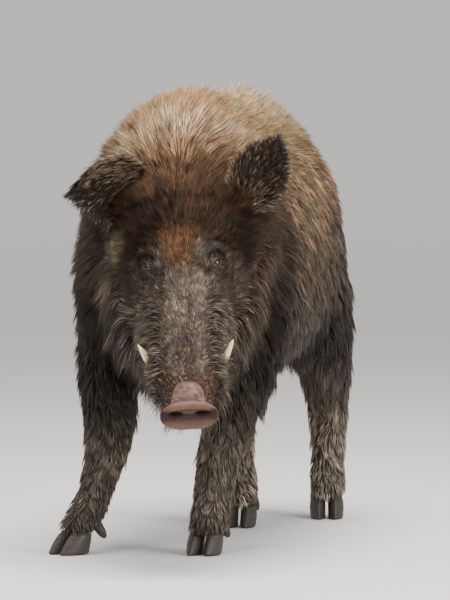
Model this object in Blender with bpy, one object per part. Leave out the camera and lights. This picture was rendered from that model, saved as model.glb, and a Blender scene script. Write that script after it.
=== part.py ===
"""Wild boar, an adult male in its winter coat, as a still life-size model in separate pieces.

Units are metres and +Z is up. The boar faces -Y and its left side is at +X. The solids give the
outline out to the tips of the coat. While it is built, lengths along the body start at the line of
the forelegs; at the end the whole model moves so that its origin is on the floor under the middle
of its box.
"""
import math
from dataclasses import dataclass

import bmesh
import bpy
import numpy as np
from mathutils import Matrix, Vector

# Driving dimensions
WITHERS = 0.897  # height of the shoulders, out to the bristles
SEAM = 0.0003  # gap between two pieces that meet
SOCKET_GAP = 0.0005  # how far a socket is swollen past the eye, tusk, ear or claw in it
FLESH_VOXEL = 0.006
FLESH_TRIANGLES = 3060
HEAD_SPARED = 0.012  # how far the head is spared when the flesh is thinned

# The head hangs forward and down, and is turned to the boar's left
SNOUT_TIP = Vector((0.095, -0.500, 0.291))
HEAD_PITCH = math.radians(52)
HEAD_YAW = math.radians(10)
HEAD_ROLL = math.radians(-3)
HEAD_LENGTH = 0.495  # from the disc of the snout to the cut behind the ears
THROAT_LEVEL = -0.166  # the head ends this far under its axis
DISC_DEPTH = 0.021
DISC_TILT = 0.21  # the disc leans back by this much of its height

EYE_RADIUS = 0.0135
EYE_PLACE = (0.0605, 0.303, 0.0545)  # across, along and up in the head's frame

CORONET = 0.044  # height where the flesh ends and the hooves begin
HOOF_SIDES = 10
CUT_MARGIN = 0.012  # how far a leg's cut runs outside the leg


@dataclass
class Section:
    """One slice of a body part: an egg shape with its own roof and floor."""

    at: float
    top: float
    bottom: float
    half_width: float
    widest: float
    roof: float = 1.0
    floor: float = 1.0


@dataclass
class Slice:
    """One level slice of a leg: its height, middle, half width and half depth."""

    height: float
    x: float
    y: float
    half_width: float
    half_depth: float


# at, top, bottom, half width, height of the widest place, roof, floor
TRUNK = (
    Section(-0.175, 0.700, 0.430, 0.100, 0.560),
    Section(-0.135, 0.790, 0.375, 0.160, 0.560, 0.90),
    Section(-0.070, 0.868, 0.332, 0.203, 0.550, 0.84),
    Section(0.020, WITHERS, 0.308, 0.225, 0.525, 0.80),
    Section(0.160, 0.886, 0.300, 0.226, 0.505, 0.80),
    Section(0.340, 0.873, 0.302, 0.219, 0.500, 0.81),
    Section(0.520, 0.884, 0.326, 0.211, 0.505, 0.82),
    Section(0.640, 0.884, 0.380, 0.205, 0.515, 0.82),
    Section(0.775, 0.832, 0.445, 0.183, 0.545, 0.88),
    Section(0.860, 0.752, 0.510, 0.138, 0.590, 0.95),
    Section(0.905, 0.680, 0.590, 0.070, 0.640),
)

# Slices across the head. The snout's disc is at 0 and the poll is near 0.47
HEAD = (
    Section(0.000, 0.028, -0.032, 0.053, -0.002, 1.35, 1.15),
    Section(0.008, 0.029, -0.033, 0.0535, -0.002, 1.35, 1.15),
    Section(0.022, 0.031, -0.032, 0.048, 0.000, 1.2, 1.1),
    Section(0.034, 0.034, -0.033, 0.046, 0.000, 1.1, 1.1),
    Section(0.060, 0.040, -0.038, 0.054, 0.000, 1.1, 1.1),
    Section(0.105, 0.048, -0.046, 0.068, 0.000, 1.1, 1.2),
    Section(0.150, 0.056, -0.056, 0.077, -0.008, 1.05, 1.2),
    Section(0.200, 0.066, -0.070, 0.084, -0.018, 1.0, 1.2),
    Section(0.250, 0.077, -0.086, 0.094, -0.026, 0.97, 1.1),
    Section(0.300, 0.090, -0.100, 0.114, -0.034, 0.93, 1.05),
    Section(0.360, 0.106, -0.118, 0.137, -0.030, 0.92, 1.0),
    Section(0.420, 0.120, -0.128, 0.143, -0.014, 0.96, 1.0),
    Section(0.470, 0.126, -0.128, 0.140, 0.000, 1.0, 1.0),
)

# The lower jaw, in the same frame as the head
JAW = (
    Section(0.046, -0.028, -0.050, 0.024, -0.038),
    Section(0.058, -0.022, -0.062, 0.038, -0.038),
    Section(0.105, -0.016, -0.078, 0.056, -0.042),
    Section(0.165, -0.016, -0.096, 0.066, -0.052),
    Section(0.240, -0.024, -0.122, 0.078, -0.068),
    Section(0.310, -0.034, -0.144, 0.094, -0.080),
    Section(0.370, -0.040, -0.148, 0.098, -0.086),
    Section(0.420, -0.050, -0.140, 0.080, -0.090),
)

FORE_LEFT = (
    Slice(0.560, 0.130, 0.020, 0.085, 0.130),
    Slice(0.460, 0.134, 0.020, 0.078, 0.118),
    Slice(0.380, 0.120, 0.010, 0.069, 0.094),
    Slice(0.300, 0.100, -0.012, 0.062, 0.072),
    Slice(0.220, 0.078, -0.030, 0.052, 0.056),
    Slice(0.170, 0.066, -0.037, 0.045, 0.049),
    Slice(0.120, 0.058, -0.040, 0.039, 0.042),
    Slice(0.080, 0.053, -0.045, 0.040, 0.044),
    Slice(0.030, 0.047, -0.058, 0.043, 0.047),
)
FORE_RIGHT = (
    Slice(0.560, -0.130, 0.020, 0.085, 0.130),
    Slice(0.460, -0.148, 0.020, 0.078, 0.118),
    Slice(0.380, -0.150, 0.012, 0.069, 0.094),
    Slice(0.300, -0.147, -0.012, 0.061, 0.072),
    Slice(0.220, -0.146, -0.035, 0.050, 0.055),
    Slice(0.170, -0.152, -0.048, 0.043, 0.047),
    Slice(0.120, -0.166, -0.060, 0.037, 0.041),
    Slice(0.080, -0.181, -0.074, 0.039, 0.044),
    Slice(0.030, -0.200, -0.094, 0.042, 0.047),
)
HIND_LEFT = (
    Slice(0.620, 0.104, 0.655, 0.076, 0.140),
    Slice(0.500, 0.130, 0.665, 0.082, 0.162),
    Slice(0.420, 0.140, 0.680, 0.077, 0.140),
    Slice(0.350, 0.144, 0.712, 0.066, 0.106),
    Slice(0.290, 0.145, 0.756, 0.056, 0.077),
    Slice(0.240, 0.145, 0.796, 0.047, 0.061),
    Slice(0.190, 0.145, 0.803, 0.042, 0.050),
    Slice(0.130, 0.145, 0.794, 0.037, 0.041),
    Slice(0.080, 0.146, 0.783, 0.038, 0.044),
    Slice(0.030, 0.147, 0.766, 0.041, 0.047),
)
HIND_RIGHT = (
    Slice(0.620, -0.104, 0.650, 0.076, 0.140),
    Slice(0.500, -0.118, 0.625, 0.082, 0.162),
    Slice(0.420, -0.098, 0.590, 0.077, 0.140),
    Slice(0.350, -0.070, 0.585, 0.066, 0.106),
    Slice(0.290, -0.045, 0.600, 0.056, 0.077),
    Slice(0.240, -0.026, 0.615, 0.047, 0.061),
    Slice(0.190, -0.013, 0.605, 0.042, 0.050),
    Slice(0.130, -0.003, 0.582, 0.037, 0.041),
    Slice(0.080, 0.003, 0.562, 0.038, 0.044),
    Slice(0.030, 0.008, 0.543, 0.041, 0.047),
)


@dataclass
class Limb:
    """A leg's name, its slices, and how far its toes turn from straight ahead."""

    name: str
    slices: tuple
    toe_out: float


LIMBS = (
    Limb("leg_front_left", FORE_LEFT, math.radians(-8)),
    Limb("leg_front_right", FORE_RIGHT, math.radians(-38)),
    Limb("leg_hind_left", HIND_LEFT, math.radians(10)),
    Limb("leg_hind_right", HIND_RIGHT, math.radians(2)),
)


@dataclass
class Ear:
    """A cupped leaf: base, tip, the way across it and the way it opens, in the body's frame."""

    name: str
    base: tuple
    tip: tuple
    across: tuple
    opens: tuple
    half_width: float
    cup: float
    curl: float
    droop: float


EARS = (
    Ear("ear_left", (0.150, -0.268, 0.668), (0.219, -0.268, 0.790), (0.74, 0.20, -0.64),
        (-0.18, -0.95, -0.10), 0.052, 0.42, 0.0, 0.0),
    Ear("ear_right", (-0.026, -0.262, 0.716), (-0.156, -0.314, 0.694), (0.10, 0.05, 0.99),
        (-0.30, -0.95, -0.12), 0.062, 0.38, 0.35, 0.012),
)


# root, bend and point of each tooth in the head's frame, and its radius
LOWER_TUSK = ((0.054, 0.128, -0.030), (0.081, 0.132, -0.010), (0.088, 0.152, 0.026), 0.0080)
UPPER_TUSK = ((0.056, 0.158, -0.016), (0.076, 0.160, -0.004), (0.079, 0.168, 0.010), 0.0056)


def follow(knots, values, at):
    """Values on a smooth curve through the knots, which has the slope of its neighbours at each."""
    knots = np.asarray(knots, float)
    values = np.asarray(values, float)
    slopes = np.gradient(values, knots, axis=0)
    out = []
    for place in at:
        k = int(np.clip(np.searchsorted(knots, place) - 1, 0, len(knots) - 2))
        span = knots[k + 1] - knots[k]
        t = (place - knots[k]) / span
        out.append(
            (2 * t**3 - 3 * t**2 + 1) * values[k]
            + (t**3 - 2 * t**2 + t) * span * slopes[k]
            + (3 * t**2 - 2 * t**3) * values[k + 1]
            + (t**3 - t**2) * span * slopes[k + 1]
        )
    return np.array(out)


def finish_material(name, colour, roughness):
    """A Principled material with one colour."""
    material = bpy.data.materials.new(name)
    material.use_nodes = True
    shader = material.node_tree.nodes["Principled BSDF"]
    shader.inputs["Base Color"].default_value = (*colour, 1.0)
    shader.inputs["Roughness"].default_value = roughness
    return material


def add_object(name, mesh):
    """A named object in the scene for this mesh."""
    obj = bpy.data.objects.new(name, mesh)
    bpy.context.scene.collection.objects.link(obj)
    return obj


def evaluated(obj, name):
    """A new mesh of the object with its modifiers, and the object removed."""
    graph = bpy.context.evaluated_depsgraph_get()
    graph.update()
    mesh = bpy.data.meshes.new_from_object(obj.evaluated_get(graph), depsgraph=graph)
    mesh.name = name
    bpy.data.objects.remove(obj)
    return mesh


def boolean(mesh, cutter, operation):
    """The mesh cut by, or kept inside, another mesh."""
    obj = add_object("being_cut", mesh)
    tool = add_object("cutter", cutter)
    step = obj.modifiers.new("cut", "BOOLEAN")
    step.solver = "EXACT"
    step.operation = operation
    step.object = tool
    result = evaluated(obj, "cut_piece")
    bpy.data.objects.remove(tool)
    return result


def mesh_of(bm, name="solid"):
    """A mesh of triangles from a bmesh, with its faces outward."""
    bmesh.ops.recalc_face_normals(bm, faces=bm.faces[:])
    bmesh.ops.triangulate(bm, faces=bm.faces[:], quad_method="FIXED", ngon_method="EAR_CLIP")
    mesh = bpy.data.meshes.new(name)
    bm.to_mesh(mesh)
    bm.free()
    return mesh


def swollen(mesh, by):
    """A copy of the mesh with its surface moved outward."""
    copy = mesh.copy()
    moved = [v.co + v.normal * by for v in copy.vertices]
    for vertex, place in zip(copy.vertices, moved):
        vertex.co = place
    return copy


def loft(bm, rings):
    """Joins rings of points into one closed tube with flat ends."""
    made = [[bm.verts.new(point) for point in ring] for ring in rings]
    for first, second in zip(made, made[1:]):
        for k in range(len(first)):
            after = (k + 1) % len(first)
            bm.faces.new((first[k], first[after], second[after], second[k]))
    bm.faces.new(list(reversed(made[0])))
    bm.faces.new(made[-1])


def lofted(rings):
    """A mesh of one closed tube."""
    bm = bmesh.new()
    loft(bm, rings)
    return mesh_of(bm)


def round_ring(centre, wide, deep, sides):
    """A level ellipse of points."""
    turns = [2 * math.pi * k / sides for k in range(sides)]
    x, y, z = centre
    return [Vector((x + wide * math.cos(t), y + deep * math.sin(t), z)) for t in turns]


def egg(section, sides):
    """The points of a slice, as (across, up) pairs. A roof or floor under 1 is narrower there."""
    points = []
    for k in range(sides):
        turn = 2 * math.pi * k / sides
        across = math.cos(turn)
        up = math.sin(turn)
        reach = section.top - section.widest if up > 0 else section.widest - section.bottom
        power = section.roof if up > 0 else section.floor
        width = section.half_width * math.copysign(abs(across) ** (1 / power), across)
        points.append((width, section.widest + reach * up))
    return points


def smooth_sections(sections, count):
    """More slices between the given ones."""
    knots = [s.at for s in sections]
    rows = [(s.top, s.bottom, s.half_width, s.widest, s.roof, s.floor) for s in sections]
    at = np.linspace(knots[0], knots[-1], count)
    return [Section(a, *row) for a, row in zip(at, follow(knots, rows, at))]


def head_frame():
    """From (across, along the head from the snout, up) to the body."""
    turn = Matrix.Rotation(HEAD_YAW, 4, "Z") @ Matrix.Rotation(HEAD_ROLL, 4, "Y")
    pitch = Matrix.Rotation(HEAD_PITCH, 4, "X")
    return Matrix.Translation(SNOUT_TIP) @ turn @ pitch


HEAD_FRAME = head_frame()


def in_head(across, along, up):
    """A point of the head's frame in the body's."""
    return HEAD_FRAME @ Vector((across, along, up))


def head_rings():
    """Slices of the head, with those of the disc leaning back."""
    rings = []
    for s in smooth_sections(HEAD, 60):
        lean = DISC_TILT * max(0.0, 1.0 - s.at / 0.08)
        rings.append([in_head(x, s.at + lean * up, up) for x, up in egg(s, 40)])
    return rings


def jaw_rings():
    """Slices of the lower jaw."""
    return [[in_head(x, s.at, up) for x, up in egg(s, 36)] for s in smooth_sections(JAW, 28)]


def trunk_rings():
    """Upright slices of the trunk."""
    return [[Vector((x, s.at, z)) for x, z in egg(s, 44)] for s in smooth_sections(TRUNK, 44)]


def neck_rings():
    """Slices that lean from the back of the head to the shoulders."""
    start = in_head(0.0, 0.360, -0.004)
    # along the neck: middle, lean from upright, up, down, half width
    knots = (0.0, 0.30, 0.65, 1.0)
    rows = (
        (*start, 0.90, 0.106, 0.116, 0.128),
        (0.040, -0.190, 0.628, 0.62, 0.176, 0.168, 0.162),
        (0.014, -0.085, 0.640, 0.30, 0.246, 0.235, 0.194),
        (0.000, 0.050, 0.620, 0.00, 0.262, 0.270, 0.200),
    )
    rings = []
    for x, y, z, lean, up, down, width in follow(knots, rows, np.linspace(0, 1, 18)):
        section = Section(0.0, up, -down, width, 0.0, 0.84, 0.95)
        tilt = Matrix.Translation((x, y, z)) @ Matrix.Rotation(lean, 4, "X")
        rings.append([tilt @ Vector((a, 0.0, b)) for a, b in egg(section, 40)])
    return rings


def leg_rings(slices, grow=0.0):
    """Level slices of a leg from the top down, swollen on request."""
    heights = [-s.height for s in slices]
    rows = [(s.x, s.y, s.half_width + grow, s.half_depth + grow) for s in slices]
    at = np.linspace(heights[0], heights[-1], 30)
    return [
        round_ring((x, y, -down), wide, deep, 28)
        for down, (x, y, wide, deep) in zip(at, follow(heights, rows, at))
    ]


def leg_cutter(slices, grow=0.0):
    """A wider sleeve round a leg, domed at the top, that parts it from the trunk."""
    top = slices[1].height
    crown = 0.055
    rings = []
    heights = [-s.height for s in slices]
    rows = [(s.x, s.y, s.half_width, s.half_depth) for s in slices]
    margin = CUT_MARGIN + grow
    x, y, wide, deep = follow(heights, rows, [-top])[0]
    for rise, shrink in ((1.0, 0.50), (0.62, 0.84), (0.0, 1.0)):
        height = top + crown * rise + grow
        rings.append(round_ring((x, y, height), (wide + margin) * shrink, (deep + margin) * shrink, 14))
    for height in (top - 0.07, 0.300, 0.160, CORONET):
        x, y, wide, deep = follow(heights, rows, [-height])[0]
        rings.append(round_ring((x, y, height), wide + margin, deep + margin, 14))
    return lofted(rings)


def tail_rings():
    """A thin hanging tail that widens into its tassel."""
    knots = (0.0, 0.2, 0.55, 0.8, 0.95, 1.0)
    rows = (
        (0.000, 0.840, 0.706, 0.032),
        (0.004, 0.922, 0.680, 0.022),
        (0.010, 0.956, 0.560, 0.016),
        (0.014, 0.955, 0.462, 0.021),
        (0.014, 0.949, 0.405, 0.015),
        (0.013, 0.947, 0.388, 0.008),
    )
    path = follow(knots, rows, np.linspace(0, 1, 30))
    rings = []
    for k, (x, y, z, radius) in enumerate(path):
        ahead = path[min(k + 1, len(path) - 1)][:3] - path[max(k - 1, 0)][:3]
        turn = Vector(ahead).to_track_quat("Z", "X").to_matrix().to_4x4()
        place = Matrix.Translation((x, y, z)) @ turn
        rings.append([place @ p for p in round_ring((0, 0, 0), radius, radius, 16)])
    return rings


def add_ball(bm, place, radii):
    """A muscle as a stretched ball."""
    shape = place @ Matrix.Diagonal((*radii, 1.0))
    bmesh.ops.create_uvsphere(bm, u_segments=32, v_segments=20, radius=1.0, matrix=shape)


def flesh_form():
    """Every soft part but the ears as one rough mesh of overlapping tubes."""
    bm = bmesh.new()
    for rings in (trunk_rings(), head_rings(), jaw_rings(), neck_rings(), tail_rings()):
        loft(bm, rings)
    for limb in LIMBS:
        loft(bm, leg_rings(limb.slices))
    for side in (1, -1):
        shoulder = Matrix.Translation((0.112 * side, 0.010, 0.530))
        add_ball(bm, shoulder, (0.113, 0.165, 0.190))
        hip = Matrix.Translation((0.102 * side, 0.660, 0.500))
        add_ball(bm, hip, (0.106, 0.185, 0.190))
        cheek = HEAD_FRAME @ Matrix.Translation((0.058 * side, 0.335, -0.056))
        add_ball(bm, cheek, (0.075, 0.150, 0.082))
    return mesh_of(bm)


def body_mesh():
    """The soft parts grown together into one closed skin and thinned to few faces."""
    form = add_object("form", flesh_form())
    remesh = form.modifiers.new("grow_together", "REMESH")
    remesh.mode = "VOXEL"
    remesh.voxel_size = FLESH_VOXEL
    remesh.adaptivity = 0.0
    soften = form.modifiers.new("soften", "SMOOTH")
    soften.factor = 0.5
    soften.iterations = 8
    whole = add_object("whole", evaluated(form, "whole"))
    spared = whole.vertex_groups.new(name="spared")
    inverse = HEAD_FRAME.inverted()
    for vertex in whole.data.vertices:
        place = inverse @ vertex.co
        if place.y < HEAD_LENGTH and place.z > THROAT_LEVEL and vertex.co.y < -0.1:
            spared.add([vertex.index], 0.5, "REPLACE")
    thin = whole.modifiers.new("thin", "DECIMATE")
    thin.vertex_group = "spared"
    thin.invert_vertex_group = True
    thin.vertex_group_factor = HEAD_SPARED
    thin.ratio = FLESH_TRIANGLES / (2 * len(whole.data.polygons))
    thin.use_collapse_triangulate = True
    return evaluated(whole, "body")


def box_mesh(low, high, place=None):
    """A closed box between two corners, moved on request."""
    bm = bmesh.new()
    bmesh.ops.create_cube(bm, size=1.0)
    low = Vector(low)
    high = Vector(high)
    for vertex in bm.verts:
        half = Vector((0.5, 0.5, 0.5))
        share = vertex.co + half
        vertex.co = Vector([low[i] + share[i] * (high[i] - low[i]) for i in range(3)])
        if place:
            vertex.co = place @ vertex.co
    return mesh_of(bm)


def split(mesh, inside, beyond):
    """The part of a mesh inside one cutter, and the rest outside a slightly larger one."""
    kept = boolean(mesh.copy(), inside, "INTERSECT")
    rest = boolean(mesh, beyond, "DIFFERENCE")
    return kept, rest


def main_body(mesh):
    """The mesh without the slivers that a cut has left beside it."""
    bm = bmesh.new()
    bm.from_mesh(mesh)
    left = set(bm.verts)
    islands = []
    while left:
        seed = left.pop()
        island = [seed]
        queue = [seed]
        while queue:
            for edge in queue.pop().link_edges:
                for vertex in edge.verts:
                    if vertex in left:
                        left.remove(vertex)
                        island.append(vertex)
                        queue.append(vertex)
        islands.append(island)
    islands.sort(key=len)
    for island in islands[:-1]:
        bmesh.ops.delete(bm, geom=island, context="VERTS")
    bm.to_mesh(mesh)
    bm.free()
    return mesh


def head_box(front, back, grow=0.0):
    """A box in the head's frame that holds the head between two slices."""
    return box_mesh((-0.3, front, THROAT_LEVEL - grow), (0.3, back + grow, 0.3), HEAD_FRAME)


def neck_box(grow=0.0):
    """A leaning box that holds all before the shoulders."""
    lean = Matrix.Translation((0.0, -0.085, 0.600)) @ Matrix.Rotation(-0.22, 4, "X")
    return box_mesh((-0.4, -0.6, -0.5), (0.4, grow, 0.6), lean)


def tail_box(grow=0.0):
    """A box round the tail, behind the rump."""
    return box_mesh((-0.06, 0.914 - grow, 0.3), (0.08, 1.1, 0.8))


def part_flesh():
    """The pieces of flesh by name, parted with thin cuts."""
    pieces = {}
    rest = body_mesh()
    for limb in LIMBS:
        inside = leg_cutter(limb.slices)
        beyond = leg_cutter(limb.slices, SEAM)
        pieces[limb.name], rest = split(rest, inside, beyond)
    # what is left of the legs under the coronets is cut away
    rest = boolean(rest, box_mesh((-0.5, -0.3, -0.1), (0.5, 1.0, 0.26)), "DIFFERENCE")
    pieces["tail"], rest = split(rest, tail_box(), tail_box(SEAM))
    pieces["snout"], rest = split(
        rest, head_box(-0.1, DISC_DEPTH), head_box(-0.1, DISC_DEPTH, SEAM)
    )
    pieces["head"], rest = split(
        rest, head_box(-0.1, HEAD_LENGTH), head_box(-0.1, HEAD_LENGTH, SEAM)
    )
    pieces["neck"], pieces["trunk"] = split(rest, neck_box(), neck_box(SEAM))
    return {name: main_body(mesh) for name, mesh in pieces.items()}


def eye_mesh(side):
    """A round eye, set in the head."""
    bm = bmesh.new()
    across, along, up = EYE_PLACE
    place = HEAD_FRAME @ Matrix.Translation((across * side, along, up))
    bmesh.ops.create_uvsphere(bm, u_segments=14, v_segments=8, radius=EYE_RADIUS, matrix=place)
    return mesh_of(bm)


def tusk_mesh(side, root, bend, point, radius):
    """A curved tooth that narrows to its point, three-cornered like a boar's."""
    mirror = Matrix.Diagonal((side, 1.0, 1.0))
    root, bend, point = (mirror @ Vector(p) for p in (root, bend, point))
    rings = []
    steps = 5
    sides = 7
    for k in range(steps):
        t = k / steps
        centre = root * (1 - t) ** 2 + bend * 2 * t * (1 - t) + point * t**2
        ahead = (bend - root) * (1 - t) + (point - bend) * t
        turn = ahead.to_track_quat("Z", "Y").to_matrix().to_4x4()
        size = radius * (1 - t**1.7) ** 0.8
        ring = []
        for j in range(sides):
            angle = 2 * math.pi * j / sides
            reach = size * (1 + 0.13 * math.cos(3 * angle))
            ring.append(turn @ Vector((reach * math.cos(angle), reach * math.sin(angle), 0)))
        rings.append([HEAD_FRAME @ (centre + p) for p in ring])
    tip = HEAD_FRAME @ point
    last = rings[-1]
    rings.append([tip + (p - tip) * 0.06 for p in last])
    return lofted(rings)


def ear_mesh(ear):
    """A cupped leaf that thins towards its tip, with its root in the head."""
    base = Vector(ear.base)
    tip = Vector(ear.tip)
    axis = tip - base
    across = Vector(ear.across)
    across = (across - axis * across.dot(axis) / axis.length_squared).normalized()
    opens = Vector(ear.opens)
    opens = (opens - axis * opens.dot(axis) / axis.length_squared)
    opens = (opens - across * opens.dot(across)).normalized()
    knots = (0.0, 0.2, 0.45, 0.7, 0.88, 1.0)
    widths = ((0.62,), (0.86,), (1.0,), (0.80,), (0.46,), (0.14,))
    spread = np.linspace(-1, 1, 7)
    rings = []
    for t in np.linspace(0, 1, 9):
        width = ear.half_width * follow(knots, widths, [t])[0][0]
        thick = 0.0046 - 0.0022 * t
        middle = base + axis * t + opens * ear.droop * t * t
        front = []
        rear = []
        for q in spread:
            depth = ear.cup * width * (1 - q * q) * (1 - 0.35 * t)
            fold = ear.curl * width * max(0.0, q - 0.35) ** 1.5
            # the folded edge leans over and comes down
            reach = q - 0.6 * ear.curl * max(0.0, q - 0.55)
            spot = middle + across * width * reach - opens * (depth - fold)
            slope = Vector((2 * ear.cup * q * (1 - 0.35 * t), 1.0))
            normal = (opens * slope.y - across * slope.x).normalized()
            edge = 1 - 0.55 * q * q
            front.append(spot + normal * thick * edge)
            rear.append(spot - normal * thick * edge)
        rings.append(front + rear[::-1])
    return lofted(rings)


def hoof_rings(side, foot, turn):
    """Level outlines of one main hoof, from the sole up to the coronet."""
    # height, heel, toe, inner side, outer side
    levels = (
        (0.0, -0.016, 0.050, 0.0030, 0.0310),
        (0.003, -0.018, 0.052, 0.0025, 0.0330),
        (0.024, -0.022, 0.038, 0.0022, 0.0350),
        (CORONET - SEAM, -0.026, 0.024, 0.0020, 0.0350),
    )
    place = Matrix.Translation((foot.x, foot.y, 0.0)) @ Matrix.Rotation(turn, 4, "Z")
    rings = []
    for height, heel, toe, inner, outer in levels:
        middle = (heel + toe) / 2
        half = (toe - heel) / 2
        ring = []
        for k in range(HOOF_SIDES):
            angle = 2 * math.pi * k / HOOF_SIDES
            along = math.cos(angle)
            # the toe is pointed and the heel is round
            taper = 1.0 if along < 0 else 1 - 0.42 * along**2
            span = (outer - inner) / 2
            across = inner + span + span * math.sin(angle) * taper - 0.10 * span * max(0.0, along)
            ring.append(place @ Vector((side * across, -(middle + half * along), height)))
        rings.append(ring)
    return rings


def dewclaw_mesh(side, foot, turn, grow=0.0):
    """A small claw behind the foot, which hangs down and back."""
    place = Matrix.Translation((foot.x, foot.y, 0.0)) @ Matrix.Rotation(turn, 4, "Z")
    root = Vector((0.017 * side, 0.030, 0.070))
    tip = Vector((0.031 * side, 0.060, 0.018))
    turn_to = (tip - root).to_track_quat("Z", "X").to_matrix().to_4x4()
    rings = []
    for t, radius in ((0.0, 0.0085), (0.35, 0.0105), (0.75, 0.0085), (1.0, 0.0040)):
        centre = root.lerp(tip, t)
        lay = place @ Matrix.Translation(centre) @ turn_to
        wide = radius + grow
        rings.append([lay @ p for p in round_ring((0, 0, grow if t == 1.0 else 0.0), wide, wide, 6)])
    return lofted(rings)


def build():
    """Every piece of the boar as a mesh by name, with its material's name."""
    pieces = {name: [mesh, "bristle_coat"] for name, mesh in part_flesh().items()}
    pieces["snout"][1] = "snout_skin"
    head = pieces["head"][0]
    for side, word in ((1, "left"), (-1, "right")):
        eye = eye_mesh(side)
        head = boolean(head, swollen(eye, SEAM), "DIFFERENCE")
        pieces[f"eye_{word}"] = [eye, "eye_brown"]
        for row, tooth in (("lower", LOWER_TUSK), ("upper", UPPER_TUSK)):
            tusk = tusk_mesh(side, *tooth)
            head = boolean(head, swollen(tusk, SOCKET_GAP), "DIFFERENCE")
            pieces[f"tusk_{row}_{word}"] = [tusk, "tusk_ivory"]
    for ear in EARS:
        mesh = ear_mesh(ear)
        for name in ("head", "neck"):
            other = head if name == "head" else pieces["neck"][0]
            cut = boolean(other, swollen(mesh, SOCKET_GAP), "DIFFERENCE")
            if name == "head":
                head = cut
            else:
                pieces["neck"][0] = cut
        pieces[ear.name] = [mesh, "bristle_coat"]
    pieces["head"][0] = head
    for limb in LIMBS:
        foot = limb.slices[-1]
        corner = limb.name.replace("leg_", "")
        outer = 1 if corner.endswith("left") else -1
        for side, word in ((outer, "outer"), (-outer, "inner")):
            hoof = lofted(hoof_rings(side, foot, limb.toe_out))
            pieces[f"hoof_{corner}_{word}"] = [hoof, "hoof_horn"]
            claw = dewclaw_mesh(side, foot, limb.toe_out)
            socket = dewclaw_mesh(side, foot, limb.toe_out, SEAM)
            pieces[limb.name][0] = boolean(pieces[limb.name][0], socket, "DIFFERENCE")
            pieces[f"dewclaw_{corner}_{word}"] = [claw, "hoof_horn"]
    return pieces


def main():
    """Builds the boar and rests it on the floor with its origin under the middle of its box."""
    for obj in list(bpy.data.objects):
        bpy.data.objects.remove(obj)
    finishes = {
        "bristle_coat": finish_material("bristle_coat", (0.055, 0.043, 0.035), 0.8),
        "snout_skin": finish_material("snout_skin", (0.16, 0.105, 0.09), 0.6),
        "eye_brown": finish_material("eye_brown", (0.02, 0.012, 0.008), 0.1),
        "tusk_ivory": finish_material("tusk_ivory", (0.72, 0.64, 0.48), 0.35),
        "hoof_horn": finish_material("hoof_horn", (0.035, 0.03, 0.027), 0.5),
    }
    pieces = build()
    places = np.array([v.co for mesh, _ in pieces.values() for v in mesh.vertices])
    low = places.min(axis=0)
    high = places.max(axis=0)
    shift = Matrix.Translation((-(low[0] + high[0]) / 2, -(low[1] + high[1]) / 2, -low[2]))
    for name, (mesh, finish) in pieces.items():
        mesh.transform(shift)
        mesh.materials.clear()
        mesh.materials.append(finishes[finish])
        for face in mesh.polygons:
            face.material_index = 0
        mesh.name = name
        add_object(name, mesh)
    print("origin moved by", [round(c, 4) for c in shift.translation])


main()
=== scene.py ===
"""Looks of a life-size wild boar: one skin, a coat of bristle locks, eyes, tusks and hooves.

Units are metres and +Z is up. The boar faces -Y and its left side is at +X. Lengths along the body
that come from its anatomy start at the line of the forelegs, and FORELEGS moves them into place.
"""
import sys

import logging
import math
from dataclasses import dataclass, field
from enum import Enum, IntEnum

import bmesh
import bpy
import numpy as np
from bmesh.types import BMesh
from bpy.types import Material, Mesh, NodeSocket, Object
from mathutils import Matrix, Vector
from mathutils.bvhtree import BVHTree
from mathutils.kdtree import KDTree


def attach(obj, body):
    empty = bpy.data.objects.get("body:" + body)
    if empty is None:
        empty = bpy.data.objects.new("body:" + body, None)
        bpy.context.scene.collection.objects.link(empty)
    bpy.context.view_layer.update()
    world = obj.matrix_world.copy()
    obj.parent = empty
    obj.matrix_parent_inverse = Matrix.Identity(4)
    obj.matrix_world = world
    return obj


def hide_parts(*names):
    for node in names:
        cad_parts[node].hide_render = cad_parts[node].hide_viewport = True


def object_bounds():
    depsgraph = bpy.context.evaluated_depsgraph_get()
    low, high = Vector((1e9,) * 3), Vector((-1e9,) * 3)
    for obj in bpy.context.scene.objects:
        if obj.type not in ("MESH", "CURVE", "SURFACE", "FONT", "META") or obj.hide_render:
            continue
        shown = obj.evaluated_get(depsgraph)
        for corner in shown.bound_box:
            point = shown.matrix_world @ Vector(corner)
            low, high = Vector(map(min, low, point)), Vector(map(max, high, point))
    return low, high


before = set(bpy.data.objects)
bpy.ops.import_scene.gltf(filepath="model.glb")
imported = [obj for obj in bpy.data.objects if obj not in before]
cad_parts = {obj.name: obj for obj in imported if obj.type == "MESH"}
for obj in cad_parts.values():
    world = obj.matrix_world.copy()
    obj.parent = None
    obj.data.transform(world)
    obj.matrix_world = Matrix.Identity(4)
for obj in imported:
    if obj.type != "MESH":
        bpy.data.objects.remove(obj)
CAD_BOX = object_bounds()

Rows = np.ndarray  # one number or one row of numbers for each point
LOG = logging.getLogger("boar")
BODY = "root"
FORELEGS = np.array((0.0059, -0.2296, 0.0))
DOWN = np.array((0.0, 0.0, -1.0))
SIDES = ((1.0, "left"), (-1.0, "right"))  # the boar's own
DISC_TILT = 0.21  # how far the snout's disc leans back for each metre up
FLESH_NODES = (
    "trunk", "neck", "head", "snout", "tail", "ear_left", "ear_right",
    "leg_front_left", "leg_front_right", "leg_hind_left", "leg_hind_right",
)
COLOUR = "Coat"  # the colour of the coat or skin at a point
DAMP = "Damp"  # 0 is dry and 1 is wet
STRAND = "Strand"  # the map that runs along each lock


class Slot(Enum):
    """The record's material slots."""

    COAT = "bristle_coat"
    SKIN = "snout_skin"
    EYE = "eye_brown"
    TUSK = "tusk_ivory"
    HORN = "hoof_horn"


class Lock(Enum):
    """How many lengths a lock of hair has."""

    STUB = 1
    BENT = 2


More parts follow.
